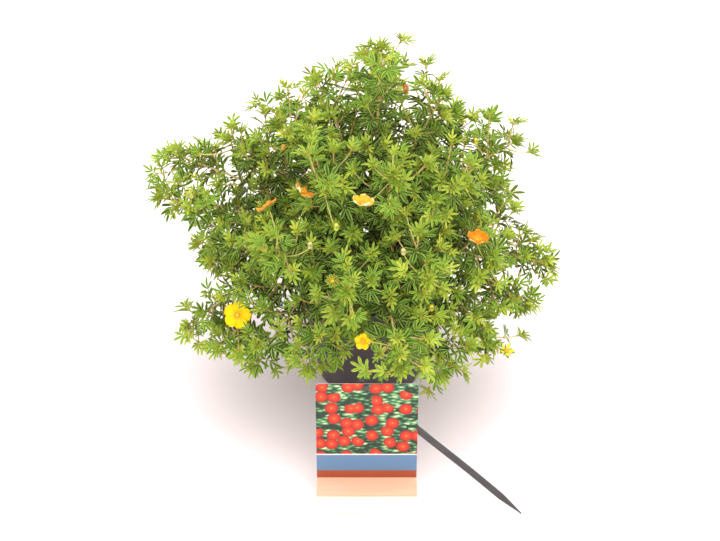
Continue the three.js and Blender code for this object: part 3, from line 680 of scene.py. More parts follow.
def addShoots(stems):
    taken = [np.concatenate([samples(s["main"]), *map(samples, s["stalks"])]) for s in stems]
    for length, place in zip(shoot["lengths"], shoot["places"]):
        for owner in stems:
            point, along = pointAlong(owner["main"], place)
            others = np.concatenate([t for i, t in enumerate(taken) if i != owner["number"]])
            own = taken[owner["number"]]
            best = (-np.inf, None)
            for _ in range(shoot["candidates"]):
                lean = shoot["leanLeast"] + (shoot["leanMost"] - shoot["leanLeast"]) * owner["draw"]()
                heading = turned(along, math.radians(lean), 2 * math.pi * owner["draw"]())
                middle = point + heading * length * shoot["bend"]
                end = middle + heading * length * shoot["rest"] + up * length * shoot["lift"]
                ends = np.array([middle, end])
                apart = np.linalg.norm(ends[:, None] - bloomAt[None], axis=2)
                blocked = keptOut(ends, shoot["clear"]).any()
                blocked = blocked or (apart < bloomReach + shoot["bloomClear"]).any()
                clear = min(nearestTo(middle, others), nearestTo(end, others), shoot["room"])
                score = clear + shoot["ownCounts"] * min(nearestTo(end, own), shoot["room"])
                tooFar = max(0, reachShare(end)[0] - shoot["reach"])
                score -= tooFar * shoot["beyond"] + shoot["blocked"] * blocked
                if score > best[0]:
                    best = (score, [point, middle, end])
            owner["side"].append(best[1])
            taken[owner["number"]] = np.concatenate([own, samples(best[1])])
    return taken


# Leaves: where each leaflet starts and ends, as [along the rib, across it], and half its width
fullLeaf = {
    "lean": 60, "hub": 9.8, "halfWidth": 2.15, "sharp": [(12.5, 15.5), (24, 11.8), (31, 0)],
    "roots": [(7.5, 0), (7.5, 0), (12.6, 0), (12.6, 0), (13.6, 0)],
    "tips": [(12.5, 15.5), (12.5, -15.5), (24, 11.8), (24, -11.8), (31, 0)],
}
youngLeaf = {
    "lean": 7, "hub": 6, "halfWidth": 1.55, "sharp": [(13, 7), (21.5, 0)],
    "roots": [(4, 0), (4, 0), (6.6, 0), (6.6, 0), (7.2, 0)],
    "tips": [(7.6, 8), (7.6, -8), (15, 6.6), (15, -6.6), (21.5, 0)],
}
leaf = {"arch": 0.009, "fold": 0.1, "ribHalf": 2.9, "thick": 0.42, "ownFold": 0.42, "endRoot": 1.6}
leafTurns = (0, 50, -50, 100, -100, 150, -150)
solidLeaves = {
    "main": [(0.66, fullLeaf), (0.87, fullLeaf), (1, youngLeaf)], "side": [(0.62, fullLeaf), (1, youngLeaf)],
}


def placeLeaf(kind, point, along, roll, lean=None, scale=1.0):
    rib = turned(along, math.radians(kind["lean"] if lean is None else lean), roll)
    facing = along + up * 0.5
    normal = unit(facing - rib * facing.dot(rib))
    return {
        "kind": kind, "point": point, "rib": rib, "normal": normal, "beside": np.cross(normal, rib),
        "scale": scale
    }


def lifted(placed, u, v, rise=0.0):
    # points of the leaf's plane laid on its arched and folded surface
    u = np.asarray(u, dtype=float)[..., None] * placed["scale"]
    v = np.asarray(v, dtype=float)[..., None] * placed["scale"]
    height = leaf["fold"] * np.abs(v) - leaf["arch"] * u * u + np.asarray(rise)[..., None]
    return placed["point"] + u * placed["rib"] + v * placed["beside"] + height * placed["normal"]


def leafRibs(placed):
    kind = placed["kind"]
    hub = lifted(placed, kind["hub"], 0)
    tips = [lifted(placed, u, v * side) for u, v in kind["sharp"] for side in ((1,) if v == 0 else (1, -1))]
    starts = np.array([placed["point"], *[hub] * len(tips)])
    radii = np.array([1.0, *[leaf["ribHalf"]] * len(tips)])
    return starts, np.array([hub, *tips]), radii


def pieceDistances(a, b, starts, ends):
    # shortest distances between one straight piece and many
    d1, d2, r = b - a, ends - starts, a - starts
    aa, ee = d1.dot(d1), (d2 * d2).sum(1)
    ff, cc, bb = (d2 * r).sum(1), r.dot(d1), d2.dot(d1)
    low = aa * ee - bb * bb
    s = np.where(low > 1e-9, np.clip((bb * ff - cc * ee) / np.where(low > 1e-9, low, 1), 0, 1), 0)
    t = np.clip((bb * s + ff) / ee, 0, 1)
    s = np.clip((bb * t - cc) / aa, 0, 1)
    return np.linalg.norm(a + s[:, None] * d1 - starts - t[:, None] * d2, axis=1)


def leafFits(ribs, others, full):
    starts, ends, radii = ribs
    if keptOut(ends[1:], leafRoom["kept"]).any():
        return False
    if full and (reachShare(ends[1:]) > crown["leafMost"]).any():
        return False
    off = bloomReach + leaf["ribHalf"] + leafRoom["bloom"]
    for a, b in zip(starts, ends):
        if (pieceDistances(a, b, bloomAt, bloomAt + up * leafRoom["dot"]) < off).any():
            return False
    hub = ends[0]
    otherStarts, otherEnds, otherRadii = others
    near = np.linalg.norm(otherStarts - hub, axis=1) <= leafRoom["near"]
    near |= np.linalg.norm(otherEnds - hub, axis=1) <= leafRoom["near"]
    for a, b, radius in zip(starts, ends, radii):
        apart = pieceDistances(a, b, otherStarts[near], otherEnds[near])
        if (apart <= radius + otherRadii[near] + leafRoom["gap"]).any():
            return False
    return True


# Room that each large leaf needs: off the pot and label, off flowers, and off the leaves this near to it
leafRoom = {"kept": 3, "bloom": 1, "dot": 0.1, "near": 90, "gap": 0.3}
# Radii that the solids' branches have, which decide where their leaves find room
solidRadii = {"main": (2.6, 1.4), "side": (1.4, 1.4, 1.3), "stalk": (1.25, 1.25, 1.0)}


def barePieces(owner):
    thick, thin = solidRadii["main"]
    steps = stem["steps"]
    mainRadii = [thick + (thin - thick) * max(i - 1, 0) / steps for i in range(steps + 1)]
    runs = [(owner["main"], mainRadii)]
    runs += [(points, solidRadii["stalk"]) for points in owner["stalks"]]
    runs += [(points, solidRadii["side"]) for points in owner["side"]]
    starts = [a for points, _ in runs for a in points[:-1]]
    ends = [b for points, _ in runs for b in points[1:]]
    radii = [radius for points, given in runs for radius in given[:len(points) - 1]]
    return np.array(starts), np.array(ends), np.array(radii)


def addSolidLeaves(stems):
    # the large leaves that the solids have, found by the same rule
    bare = [barePieces(owner) for owner in stems]
    leafy = []
    for i, owner in enumerate(stems):
        otherStems = [np.concatenate(group) for group in zip(*[b for k, b in enumerate(bare) if k != i])]
        count = 0
        branches = [(owner["main"], solidLeaves["main"])]
        branches += [(points, solidLeaves["side"]) for points in owner["side"]]
        for points, places in branches:
            for share, kind in places:
                count += 1
                point, along = pointAlong(points, share)
                if reachShare(point)[0] < crown["leafLeast"]:
                    continue
                if share == 1:
                    point = point - along * leaf["endRoot"]
                others = [np.concatenate(group) for group in zip(otherStems, *leafy)]
                for turn in leafTurns:
                    placed = placeLeaf(kind, point, along, goldenAngle * (count + i) + math.radians(turn))
                    ribs = leafRibs(placed)
                    if leafFits(ribs, others, kind is fullLeaf):
                        owner["leaves"].append(placed)
                        leafy.append([group[1:] for group in ribs])
                        break


def stakeRoute(steps):
    # a smooth curve through the stake's points, in even steps of its length
    given = [vec(*p) for p in stake["route"]]
    points = [2 * given[0] - given[1], *given, 2 * given[-1] - given[-2]]
    made = []
    for p0, p1, p2, p3 in zip(points, points[1:], points[2:], points[3:]):
        d0, d1, d2 = [np.sqrt(np.linalg.norm(b - a)) for a, b in ((p0, p1), (p1, p2), (p2, p3))]
        t1 = ((p1 - p0) / d0 - (p2 - p0) / (d0 + d1) + (p2 - p1) / d1) * d1
        t2 = ((p2 - p1) / d1 - (p3 - p1) / (d1 + d2) + (p3 - p2) / d2) * d1
        for t in np.linspace(0, 1, 50, endpoint=False):
            square, cube = -3 * p1 + 3 * p2 - 2 * t1 - t2, 2 * p1 - 2 * p2 + t1 + t2
            made.append(p1 + t1 * t + square * t ** 2 + cube * t ** 3)
    made = np.array([*made, given[-1]])
    run = np.concatenate([[0], np.cumsum(np.linalg.norm(np.diff(made, axis=0), axis=1))])
    even = np.linspace(0, run[-1], steps + 1)
    return np.stack([np.interp(even, run, made[:, k]) for k in range(3)], 1), run[-1]


stems = [makeStem(number, tip) for number, tip in enumerate(stemTips)]
for bloom in blooms:
    faces = unit(vec(*bloom["faces"]))
    addStalk(stems, vec(*bloom["at"]), faces, stalk["back"] + stalk["sunk"])
for x, y, z, radius, _ in buds:
    addStalk(stems, vec(x, y, z), up, radius * stalk["budSunk"])
taken = addShoots(stems)
addSolidLeaves(stems)
print("skeleton made,", sum(len(owner["leaves"]) for owner in stems), "large leaves")

# Below the skirt the pot's front shows, so few leaves hang there
bareFront = {"left": -24, "right": 48, "front": -215, "back": -80, "foot": 24, "slope": 0.72}

# Twigs: the many short leafy shoots between the solids' branches, and tufts of shorter ones near each tip
twig = {
    "perStem": 10, "first": 0.3, "last": 0.93, "shortest": 30, "longest": 58, "leanLeast": 26, "leanMost": 60,
    "lift": 0.2, "candidates": 9, "room": 26, "reach": 0.9, "beyond": 420, "blocked": 500,
    "onShoots": (0.3, 0.62), "onShootShare": 0.62, "bend": 0.5, "rest": 0.42, "endLeaf": 12, "clear": 8,
    "middleCounts": 0.5, "ownCounts": 0.6, "nudge": 0.03,
}
tuft = {"places": (0.8, 0.87, 0.93, 0.97), "shortest": 14, "longest": 25, "reach": 1.02}
boxRoom = 0.5
lowCorner = np.array(cadBox[0]) / mm
highCorner = np.array(cadBox[1]) / mm
stakePoints, stakeLength = stakeRoute(stake["steps"])


def allowed(points, margin):
    # inside the solids' box, out of the pot, soil and label, and off the flowers and the stake
    inside = (points > lowCorner + boxRoom).all() and (points < highCorner - boxRoom).all()
    if not inside or keptOut(points, margin).any():
        return False
    x, y, z = points.T
    middle = (x > bareFront["left"]) & (x < bareFront["right"])
    middle &= (y > bareFront["front"]) & (y < bareFront["back"])
    if (middle & (z < bareFront["foot"] - bareFront["slope"] * y)).any():
        return False
    apart = np.linalg.norm(points[:, None] - bloomAt[None], axis=2)
    if (apart < bloomReach + margin).any():
        return False
    return np.linalg.norm(points[:, None] - stakePoints[None], axis=2).min() > stake["room"] + margin


def growTwig(host, share, length, draw, others, own, most):
    point, along = pointAlong(host, share)
    best = (-np.inf, None, True)
    for _ in range(twig["candidates"]):
        lean = math.radians(draw.uniform(twig["leanLeast"], twig["leanMost"]))
        heading = turned(along, lean, draw.uniform(0, 2 * np.pi))
        middle = point + heading * length * twig["bend"]
        end = middle + heading * length * twig["rest"] + up * length * twig["lift"]
        reach = end + unit(end - middle) * twig["endLeaf"]
        blocked = not allowed(np.array([middle, end, reach]), twig["clear"])
        score = min(nearestTo(end, others), twig["room"])
        score += twig["middleCounts"] * min(nearestTo(middle, others), twig["room"])
        score += twig["ownCounts"] * min(nearestTo(end, own), twig["room"])
        score -= max(0, reachShare(reach)[0] - most) * twig["beyond"] + twig["blocked"] * blocked
        if score > best[0]:
            best = (score, [point, middle, end], blocked)
    return None if best[2] else best[1]


def keepTwig(owner, taken, found):
    if found is not None:
        owner["twigs"].append(found)
        taken[owner["number"]] = np.concatenate([taken[owner["number"]], samples(found)])


def addTwigs(stems, taken):
    draw = np.random.default_rng(5)
    for owner in stems:
        owner["twigs"] = []
    shares = np.linspace(twig["last"], twig["first"], twig["perStem"])
    hosts = [("fine", share, 1.0) for share in shares]
    hosts += [(turn, share, twig["onShootShare"]) for share in twig["onShoots"] for turn in (0, 1)]
    for place, share, size in hosts:
        for owner in stems:
            host = owner["fine"] if place == "fine" else owner["side"][place]
            length = size * draw.uniform(twig["shortest"], twig["longest"])
            own = taken[owner["number"]]
            others = np.concatenate([t for i, t in enumerate(taken) if i != owner["number"]])
            nudged = share + draw.uniform(-twig["nudge"], twig["nudge"])
            keepTwig(owner, taken, growTwig(host, nudged, length, draw, others, own, twig["reach"]))
    for owner in stems:
        for share in tuft["places"]:
            length = draw.uniform(tuft["shortest"], tuft["longest"])
            own = taken[owner["number"]]
            keepTwig(owner, taken, growTwig(owner["fine"], share, length, draw, own, own, tuft["reach"]))


addTwigs(stems, taken)
print("twigs made:", sum(len(owner["twigs"]) for owner in stems))


# Leaflet: rings of left edge, groove, right edge and underside between two pointed ends
def leafletTemplate(stations):
    along, across, under, rim = [0.0], [0.0], [0.0], [0.5]
    for share, width in stations:
        along += [share] * 4
        across += [-width, 0, width, 0]
        under += [0, 0, 0, 1]
        # the rim share is 1 at the edges, where the leaf turns pale: partly its pale hairy margin, partly
        # painted highlight
        rim += [1, 0, 1, 0]
    tip = len(along)
    first = [(0, 1 + k, 1 + (k + 1) % 4) for k in range(4)]
    last = [(tip, tip - 4 + (k + 1) % 4, tip - 4 + k) for k in range(4)]
    quads = [
        (1 + 4 * j + k, 5 + 4 * j + k, 5 + 4 * j + (k + 1) % 4, 1 + 4 * j + (k + 1) % 4)
        for j in range(len(stations) - 1) for k in range(4)
    ]
    columns = [np.array(c, dtype=float) for c in ([*along, 1], [*across, 0], [*under, 0], [*rim, 0.6])]
    return [*columns, np.array(first + last), np.array(quads)]


fineLeaflet = leafletTemplate([(0.13, 0.5), (0.4, 0.95), (0.7, 1.0), (0.91, 0.6)])
smallLeaflet = leafletTemplate([(0.2, 0.65), (0.55, 1.0), (0.86, 0.7)])
innerLeaflet = leafletTemplate([(0.28, 0.85), (0.78, 0.9)])

# How leaves are set along a shoot, closer and simpler on those deep inside, and the tuft at its end
leafing = {
    "spacing": 9.0, "innerShare": 0.7, "innerCloser": 0.8, "last": 0.95, "turns": (0, 70, -70),
    "scales": (0.78, 1.06), "taper": 0.28, "leans": (48, 74), "rising": 18,
}
endTuft = {"sunk": 1.5, "lean": 8, "swing": 5, "scales": (0.65, 0.95)}
# Leaf tones: the dark tones of leaves deep in the bush are partly their age and partly painted shade
ageAndShade = {"darkest": 0.03, "inner": 0.45, "outward": 0.42, "alongShoot": 0.34, "swing": 0.16}
# Each kind of shoot: from which share of it leaves stand, its sides, and how many leaves end it and how wide
shootLeaves = {
    "main": {"first": 0.22, "sides": 4, "endLeaves": 9, "endLean": 62},
    "side": {"first": 0.2, "sides": 5, "endLeaves": 5, "endLean": 50, "steps": 7, "radii": (1.1, 0.65)},
    "twig": {"first": 0.18, "sides": 4, "endLeaves": 3, "endLean": 34, "steps": 5, "radii": (0.95, 0.6)},
}
calyx = {
    "waist": 1.5, "radii": (1.1, 2.6, 2.9), "sepalWidth": 2.0, "bractWidth": 0.9, "bractShare": 0.75,
    "sunk": 0.9, "ring": 1.6,
}


# How the leaflets of one leaf differ, the thin stalk that holds them, and the stipules at its foot
leafletVary = {"spread": (0.9, 1.08), "length": (0.88, 1.06), "sag": (-0.6, 1.6)}
# the stalk's rim share mixes in some of the pale rim colour, partly painted highlight
leafStalk = {"radii": (0.62, 0.5, 0.42), "paler": 0.2, "rim": 0.35, "sunk": 0.1}
sheath = {"lengths": (3.2, 5.0), "ragged": 0.3, "below": 1.2, "overShoot": (0.25, 0.6), "endRadius": 0.35}


def leafParts(parts, placed, template, tone, draw):
    # the leaflets and stalk of one leaf, each leaflet a little different
    along, across, under, rim, triangles, quads = template
    kind = placed["kind"]
    spread = draw.uniform(*leafletVary["spread"])
    faces = []
    points = []
    for i, (root, tip) in enumerate(zip(kind["roots"], kind["tips"])):
        root = vec(*root)
        run = (vec(*tip) - root) * vec(1, spread) * draw.uniform(*leafletVary["length"])
        side = vec(-run[1], run[0]) / np.linalg.norm(run)
        flat = root + np.outer(along, run) + np.outer(across * kind["halfWidth"], side)
        own = leaf["ownFold"] * np.abs(across) * kind["halfWidth"] * placed["scale"]
        sag = draw.uniform(*leafletVary["sag"]) * along ** 2
        points.append(lifted(placed, flat[:, 0], flat[:, 1], own - leaf["thick"] * under - sag))
        faces.append(i * len(along))
    offsets = np.array(faces)[:, None, None]
    grouped = [(triangles[None] + offsets).reshape(-1, 3), (quads[None] + offsets).reshape(-1, 4)]
    look = np.tile(np.stack([np.full(len(along), tone), rim, under], 1), (len(faces), 1))
    addPart(parts, np.concatenate(points), grouped, 0, look)
    hub = kind["roots"][-1][0]
    line = [lifted(placed, u, 0, -leafStalk["sunk"]) for u in (0, hub * 0.5, hub + 1)]
    look = (min(tone + leafStalk["paler"], 1), leafStalk["rim"], 0)
    addPart(parts, *tubeMesh(line, leafStalk["radii"], 3), 0, look)


def sheathPart(parts, point, along, radius, draw):
    # the papery stipules that wrap the shoot where a leaf leaves it
    end = point + along * draw.uniform(*sheath["lengths"]) + draw.normal(size=3) * sheath["ragged"]
    line = [point - along * sheath["below"], point + along, end]
    radii = [*[radius + over for over in sheath["overShoot"]], sheath["endRadius"]]
    addPart(parts, *tubeMesh(line, radii, 4), 2)


def smoothLine(points, steps):
    # a soft curve through a bent line of three points
    a, b, c = points
    control = 2 * b - (a + c) / 2
    t = np.linspace(0, 1, steps + 1)[:, None]
    return list((1 - t) ** 2 * a + 2 * t * (1 - t) * (0.5 * b + 0.5 * control) + t * t * c)


def leafOn(parts, placed, template, tone, draw):
    flat = placed["kind"]["tips"]
    tips = lifted(placed, [t[0] for t in flat], [t[1] for t in flat])
    if not allowed(np.vstack([tips, placed["point"]]), 1.0):
        return False
    leafParts(parts, placed, template, tone, draw)
    return True


def ageAndShadeTone(point, share, draw):
    # old inner leaves are darker, partly from age and partly as painted shade deep in the bush; those at the
    # ends of outer shoots are yellow-green
    outer = min(max((reachShare(point)[0] - ageAndShade["inner"]) / (1 - ageAndShade["inner"]), 0), 1)
    tone = ageAndShade["darkest"] + ageAndShade["outward"] * outer + ageAndShade["alongShoot"] * share ** 2
    return float(np.clip(tone + draw.uniform(-ageAndShade["swing"], ageAndShade["swing"]), 0, 1))


def barkPart(parts, points, radii, sides, tones):
    # the wood of a shoot, its bark running through the tones from foot to end
    verts, faces = tubeMesh(points, radii, sides)
    look = np.zeros((len(verts), 3))
    look[:, 0] = np.repeat(tones, sides)
    addPart(parts, verts, faces, 1, look)


def leafyShoot(parts, points, radii, draw, number, kind):
    # a shoot with leaves set round it in a spiral and a tuft of young ones at its end
    total = np.linalg.norm(np.diff(points, axis=0), axis=1).sum()
    barkPart(parts, points, radii, kind["sides"], np.linspace(0.5, 1.0, len(points)))
    inner = reachShare(points[-1])[0] < leafing["innerShare"]
    spacing = leafing["spacing"] * (leafing["innerCloser"] if inner else 1)
    count = max(int(total * (1 - kind["first"]) / spacing), 2)
    template = innerLeaflet if inner else fineLeaflet
    for i, share in enumerate(np.linspace(kind["first"], leafing["last"], count)):
        point, along = pointAlong(points, share)
        scale = draw.uniform(*leafing["scales"]) * (1 - leafing["taper"] * share ** 3)
        lean = draw.uniform(*leafing["leans"]) - leafing["rising"] * share
        for turn in leafing["turns"]:
            roll = goldenAngle * (i + number) + math.radians(turn)
            placed = placeLeaf(fullLeaf, point, along, roll, lean, scale)
            if leafOn(parts, placed, template, ageAndShadeTone(point, share, draw), draw):
                sheathPart(parts, point, along, radii[-1], draw)
                break
    end, along = pointAlong(points, 1)
    base = end - along * endTuft["sunk"]
    for i in range(kind["endLeaves"]):
        opening = kind["endLean"] * (1 - i / kind["endLeaves"])
        lean = endTuft["lean"] + opening + draw.uniform(-endTuft["swing"], endTuft["swing"])
        scale = draw.uniform(*endTuft["scales"])
        placed = placeLeaf(youngLeaf, base, along, goldenAngle * i + number, lean, scale)
        leafOn(parts, placed, innerLeaflet if inner else smallLeaflet, draw.uniform(0.6, 1.0), draw)


def leafGreen():
    # living leaf, soft matt cuticle: mid green, darker within from age and painted shade, pale along the
    # rolled rim from its pale margin and a painted highlight, grey-green below
    finish = {"Roughness": 0.52, "IOR": 1.42, "Specular IOR Level": 0.15}
    made, tree, shader = newMaterial("livingLeafMatt", finish)
    look, ramp, _, place = mottledTone(tree, 9, 3.0, 0.16)
    # the dark end of this ramp is painted shade on leaves deep in the bush as well as their age
    green = setRamp(ramp, [(0.0, "#0e2704"), (0.3, "#2f5c08"), (0.62, "#608c12"), (1.0, "#b9be34")])
    # painted highlight, mixed with the pale hairy margin: the rim turns towards pale yellow-green
    thin = addNode(tree, "ShaderNodeMath", {"operation": "POWER"}, {0: look["Green"]}, {1: 2.8})
    share = addNode(tree, "ShaderNodeMath", {"operation": "MULTIPLY"}, {0: thin.outputs[0]}, {1: 0.85})
    rim = addNode(tree, "ShaderNodeMix", {"data_type": "RGBA"},
                  {0: share.outputs[0], 6: green}, {7: linear("#c9d972")})
    half = addNode(tree, "ShaderNodeMath", {"operation": "MULTIPLY"}, {0: look["Blue"]}, {1: 0.6})
    below = addNode(tree, "ShaderNodeMix", {"data_type": "RGBA"},
                    {0: half.outputs[0], 6: rim.outputs[2]}, {7: linear("#98a24a")})
    grain = addNode(tree, "ShaderNodeTexNoise", None, {"Vector": place},
                    {"Scale": scaleFor(1.6), "Detail": 2.0})
    dress(tree, shader, below.outputs[2], grain.outputs["Fac"], 0.3)
    return made


def shootBark():
    # thin flaking bark: dark red-brown old wood, tan and then yellow-green towards the ends
    made, tree, shader = newMaterial("youngBarkFlaking", {"Roughness": 0.65})
    _, ramp, flakes, _ = mottledTone(tree, 3, 4.0, 0.2)
    stops = [(0.0, "#4a2d20"), (0.3, "#946a3c"), (0.55, "#cfad64"), (0.8, "#e0cd88"), (1.0, "#c2bd5e")]
    dress(tree, shader, setRamp(ramp, stops), flakes, 0.5, 0.4)
    return made


def stipulePaper():
    # dry stipules, papery: straw to tan, a little glossy where they are stretched
    stops = [(0.3, "#9c7436"), (0.5, "#c79a50"), (0.7, "#dcc078")]
    return speckled("dryStipulePapery", {"Roughness": 0.45}, 5, 3.0, stops)


def budPetals():
    # folded bud petals, satin: red-orange through yellow and yellow-green to a faded pink cream
    made, tree, shader = newMaterial("foldedPetalSatin", {"Roughness": 0.5})
    _, ramp, _, _ = mottledTone(tree, 2, 2.0, 0.06)
    stops = [(0.0, "#d8452a"), (0.25, "#ea8a24"), (0.5, "#f0cf2c"), (0.75, "#c3c84a"), (1.0, "#dcb894")]
    dress(tree, shader, setRamp(ramp, stops))
    return made


def bladePart(parts, base, along, normal, length, halfWidth, tone, arch=0.0):
    # one pointed green blade such as a sepal
    share, across, under, rim, triangles, quads = smallLeaflet
    beside = np.cross(normal, along)
    height = 0.3 * np.abs(across) * halfWidth - 0.35 * under - arch * share ** 2
    verts = base + np.outer(share * length, along)
    verts = verts + np.outer(across * halfWidth, beside) + np.outer(height, normal)
    look = np.stack([np.full(len(share), tone), rim, under], 1)
    addPart(parts, verts, [triangles, quads], 0, look)


def sepalParts(parts, centre, faces, length, lean, draw):
    # the calyx: a green cup with five sepals and five narrower bracts between them
    side = turned(faces, math.pi / 2, 0)
    line = [centre - faces * stalk["calyxHeight"], centre - faces * calyx["waist"], centre]
    addPart(parts, *tubeMesh(line, calyx["radii"], 8), 0, (0.55, 0.1, 0))
    for i in range(10):
        turn = 2 * math.pi * i / 10
        outward = side * math.cos(turn) + np.cross(faces, side) * math.sin(turn)
        along = unit(outward * math.cos(lean) + faces * math.sin(lean))
        normal = unit(faces - along * faces.dot(along))
        reach = length * (1.0 if i % 2 == 0 else calyx["bractShare"])
        width = calyx["sepalWidth"] if i % 2 == 0 else calyx["bractWidth"]
        base = centre - faces * calyx["sunk"] + outward * calyx["ring"]
        bladePart(parts, base, along, normal, reach, width, draw.uniform(0.45, 0.7))


# A bud's form as shares of its radius
budForm = {
    "height": 1.25, "width": 0.86, "fullness": 0.8, "ends": (0.08, 0.1), "rings": 8, "sides": 10,
    "sepalFoot": 0.95, "sepalRing": 0.55, "sepalLean": 0.35, "sepalLength": 1.85, "sepalWidth": 0.62,
}


def budParts(parts, bud, draw):
    # a round bud of folded petals, half wrapped in five sepals
    x, y, z, radius, colour = bud
    centre = vec(x, y, z)
    turns = np.linspace(budForm["ends"][0], math.pi - budForm["ends"][1], budForm["rings"])
    points = [centre + up * radius * -budForm["height"] * math.cos(t) for t in turns]
    radii = [radius * budForm["width"] * math.sin(t) ** budForm["fullness"] for t in turns]
    addPart(parts, *tubeMesh(points, radii, budForm["sides"]), 3, (colour, 0, 0))
    for i in range(5):
        turn = 2 * math.pi * (i + draw.uniform(-0.1, 0.1)) / 5
        outward = vec(math.cos(turn), math.sin(turn), 0)
        along = unit(outward * budForm["sepalLean"] + up)
        normal = -unit(outward - along * outward.dot(along))
        base = centre - up * radius * budForm["sepalFoot"] + outward * radius * budForm["sepalRing"]
        length, width = radius * budForm["sepalLength"], radius * budForm["sepalWidth"]
        bladePart(parts, base, along, normal, length, width, draw.uniform(0.5, 0.8), arch=-1.0)


foliageMaterials = [leafGreen(), shootBark(), stipulePaper(), budPetals()]


def stemPiece(owner):
    draw = np.random.default_rng(100 + owner["number"])
    parts = newParts()
    fine, number = owner["fine"], owner["number"]
    radii = np.linspace(stem["rootRadius"], stem["tipRadius"], len(fine))
    barkPart(parts, fine, radii, stem["sides"], np.clip(np.linspace(-0.05, 1.0, len(fine)), 0, 1))
    bare = stem["bareSteps"]
    leafyShoot(parts, fine[bare:], radii[bare:] * stem["coreShare"], draw, number, shootLeaves["main"])
    kind = shootLeaves["side"]
    for turn, points in enumerate(owner["side"]):
        start, _ = pointAlong(fine, shoot["places"][turn])
        line = smoothLine([start, points[1], points[2]], kind["steps"])
        leafyShoot(parts, line, np.linspace(*kind["radii"], kind["steps"] + 1), draw, turn, kind)
    kind = shootLeaves["twig"]
    for turn, points in enumerate(owner["twigs"]):
        line = smoothLine(points, kind["steps"])
        leafyShoot(parts, line, np.linspace(*kind["radii"], kind["steps"] + 1), draw, turn + 3, kind)
    for placed in owner["leaves"]:
        full = placed["kind"] is fullLeaf
        tone = ageAndShadeTone(placed["point"], 0.3, draw)
        leafParts(parts, placed, fineLeaflet if full else smallLeaflet, tone if full else 0.8, draw)
    for points in owner["stalks"]:
        line = smoothLine(points, stalk["steps"])
        radii = np.linspace(*stalk["radii"], stalk["steps"] + 1)
        addPart(parts, *tubeMesh(line, radii, 5), 1, (1.0, 0, 0))
    for bud in owner.get("buds", []):
        budParts(parts, bud, draw)
    for bloom in owner.get("blooms", []):
        faces = unit(vec(*bloom["faces"]))
        lean = math.atan2(bloom["cup"] * 0.9, bloom["radius"])
        length = bloom["radius"] * bloom["sepal"]
        sepalParts(parts, vec(*bloom["at"]) - faces * stalk["back"], faces, length, lean, draw)
    parts["verts"] = [np.clip(verts, lowCorner, highCorner) for verts in parts["verts"]]
    named = f"{number + 1:02d}"
    finishPiece("leafyStem" + named, parts, foliageMaterials, "leafy_stem_" + named)


def ownerOf(end):
    # the stem whose stalk ends nearest to a point
    return min(stems, key=lambda owner: min([np.linalg.norm(p[2] - end) for p in owner["stalks"]] or [1e9]))


for bloom in blooms:
    ownerOf(vec(*bloom["at"])).setdefault("blooms", []).append(bloom)
for bud in buds:
    ownerOf(vec(*bud[:3])).setdefault("buds", []).append(bud)
for bud in laterBuds:
    owner = addStalk(stems, vec(*bud[:3]), up, bud[3] * stalk["budSunk"])
    owner.setdefault("buds", []).append(bud)
for owner in stems:
    stemPiece(owner)
print("leafy stems made")


def petalSatin(bloom):
    # fresh petals, satin: clear colour in soft patches, with a warm flush at the eye that is also painted as
    # shade in the creases, and a paler rim and back
    finish = {"Roughness": 0.5, "Specular IOR Level": 0.2}
    made, tree, shader = newMaterial("freshPetalSatin_" + bloom["node"][6:], finish)
    look, ramp, patches, _ = mottledTone(tree, 6, 4.0, 0.22)
    stops = [(0.1, bloom["flushAndCreaseShade"]), (0.4, bloom["petal"]), (0.82, bloom["petal"]), (1.0, bloom["rim"])]
    both = addNode(tree, "ShaderNodeMix", {"data_type": "RGBA"},
                   {0: look["Blue"], 6: setRamp(ramp, stops)}, {7: linear(bloom["back"])})
    dress(tree, shader, both.outputs[2], patches, 0.25)
    return made


def pollenYellow():
    # stamens and pistils, dusty: golden to pale yellow pollen
    return speckled("pollenDusty", {"Roughness": 0.8}, 1, 2.0, [(0.35, "#e9b41c"), (0.65, "#fbe052")])


petal = {
    "rootRadius": 1.6, "widest": 0.64, "claw": 0.24, "overlap": 0.7, "thick": 0.28, "foot": 0.3,
    "creaseShade": 4.2, "columns": 11, "lengths": (0.95, 1.0), "sideShorter": 0.05,
    "broadAcross": 3.4, "broadAlong": 4, "fineAcross": 7, "fineAlong": 5,
    "eyeTone": 0.08, "sideTone": 0.12,
    "rows": (0, 0.14, 0.28, 0.42, 0.55, 0.67, 0.78, 0.87, 0.94, 0.985),
}
stamen = {
    "count": 22, "ring": 1.9, "length": 2.6, "anther": 0.42, "leans": (0.25, 0.95),
    "threadRadii": (0.16, 0.12), "madeFor": 13,
    "eye": [(0, -0.2), (2.0, 0.0), (1.9, 0.9), (1.2, 1.5), (0.4, 1.75), (0, 1.8)],
}
pollen = pollenYellow()


def facing(bloom):
    # the turn that lays a flower made flat the way this one faces
    faces = unit(vec(*bloom["faces"]))
    axis = np.cross(up, faces)
    size = np.linalg.norm(axis)
    if size > 1e-9:
        axis = axis / size
    cross = np.array([[0, -axis[2], axis[1]], [axis[2], 0, -axis[0]], [-axis[1], axis[0], 0]])
    return np.eye(3) + size * cross + (1 - faces[2]) * cross @ cross


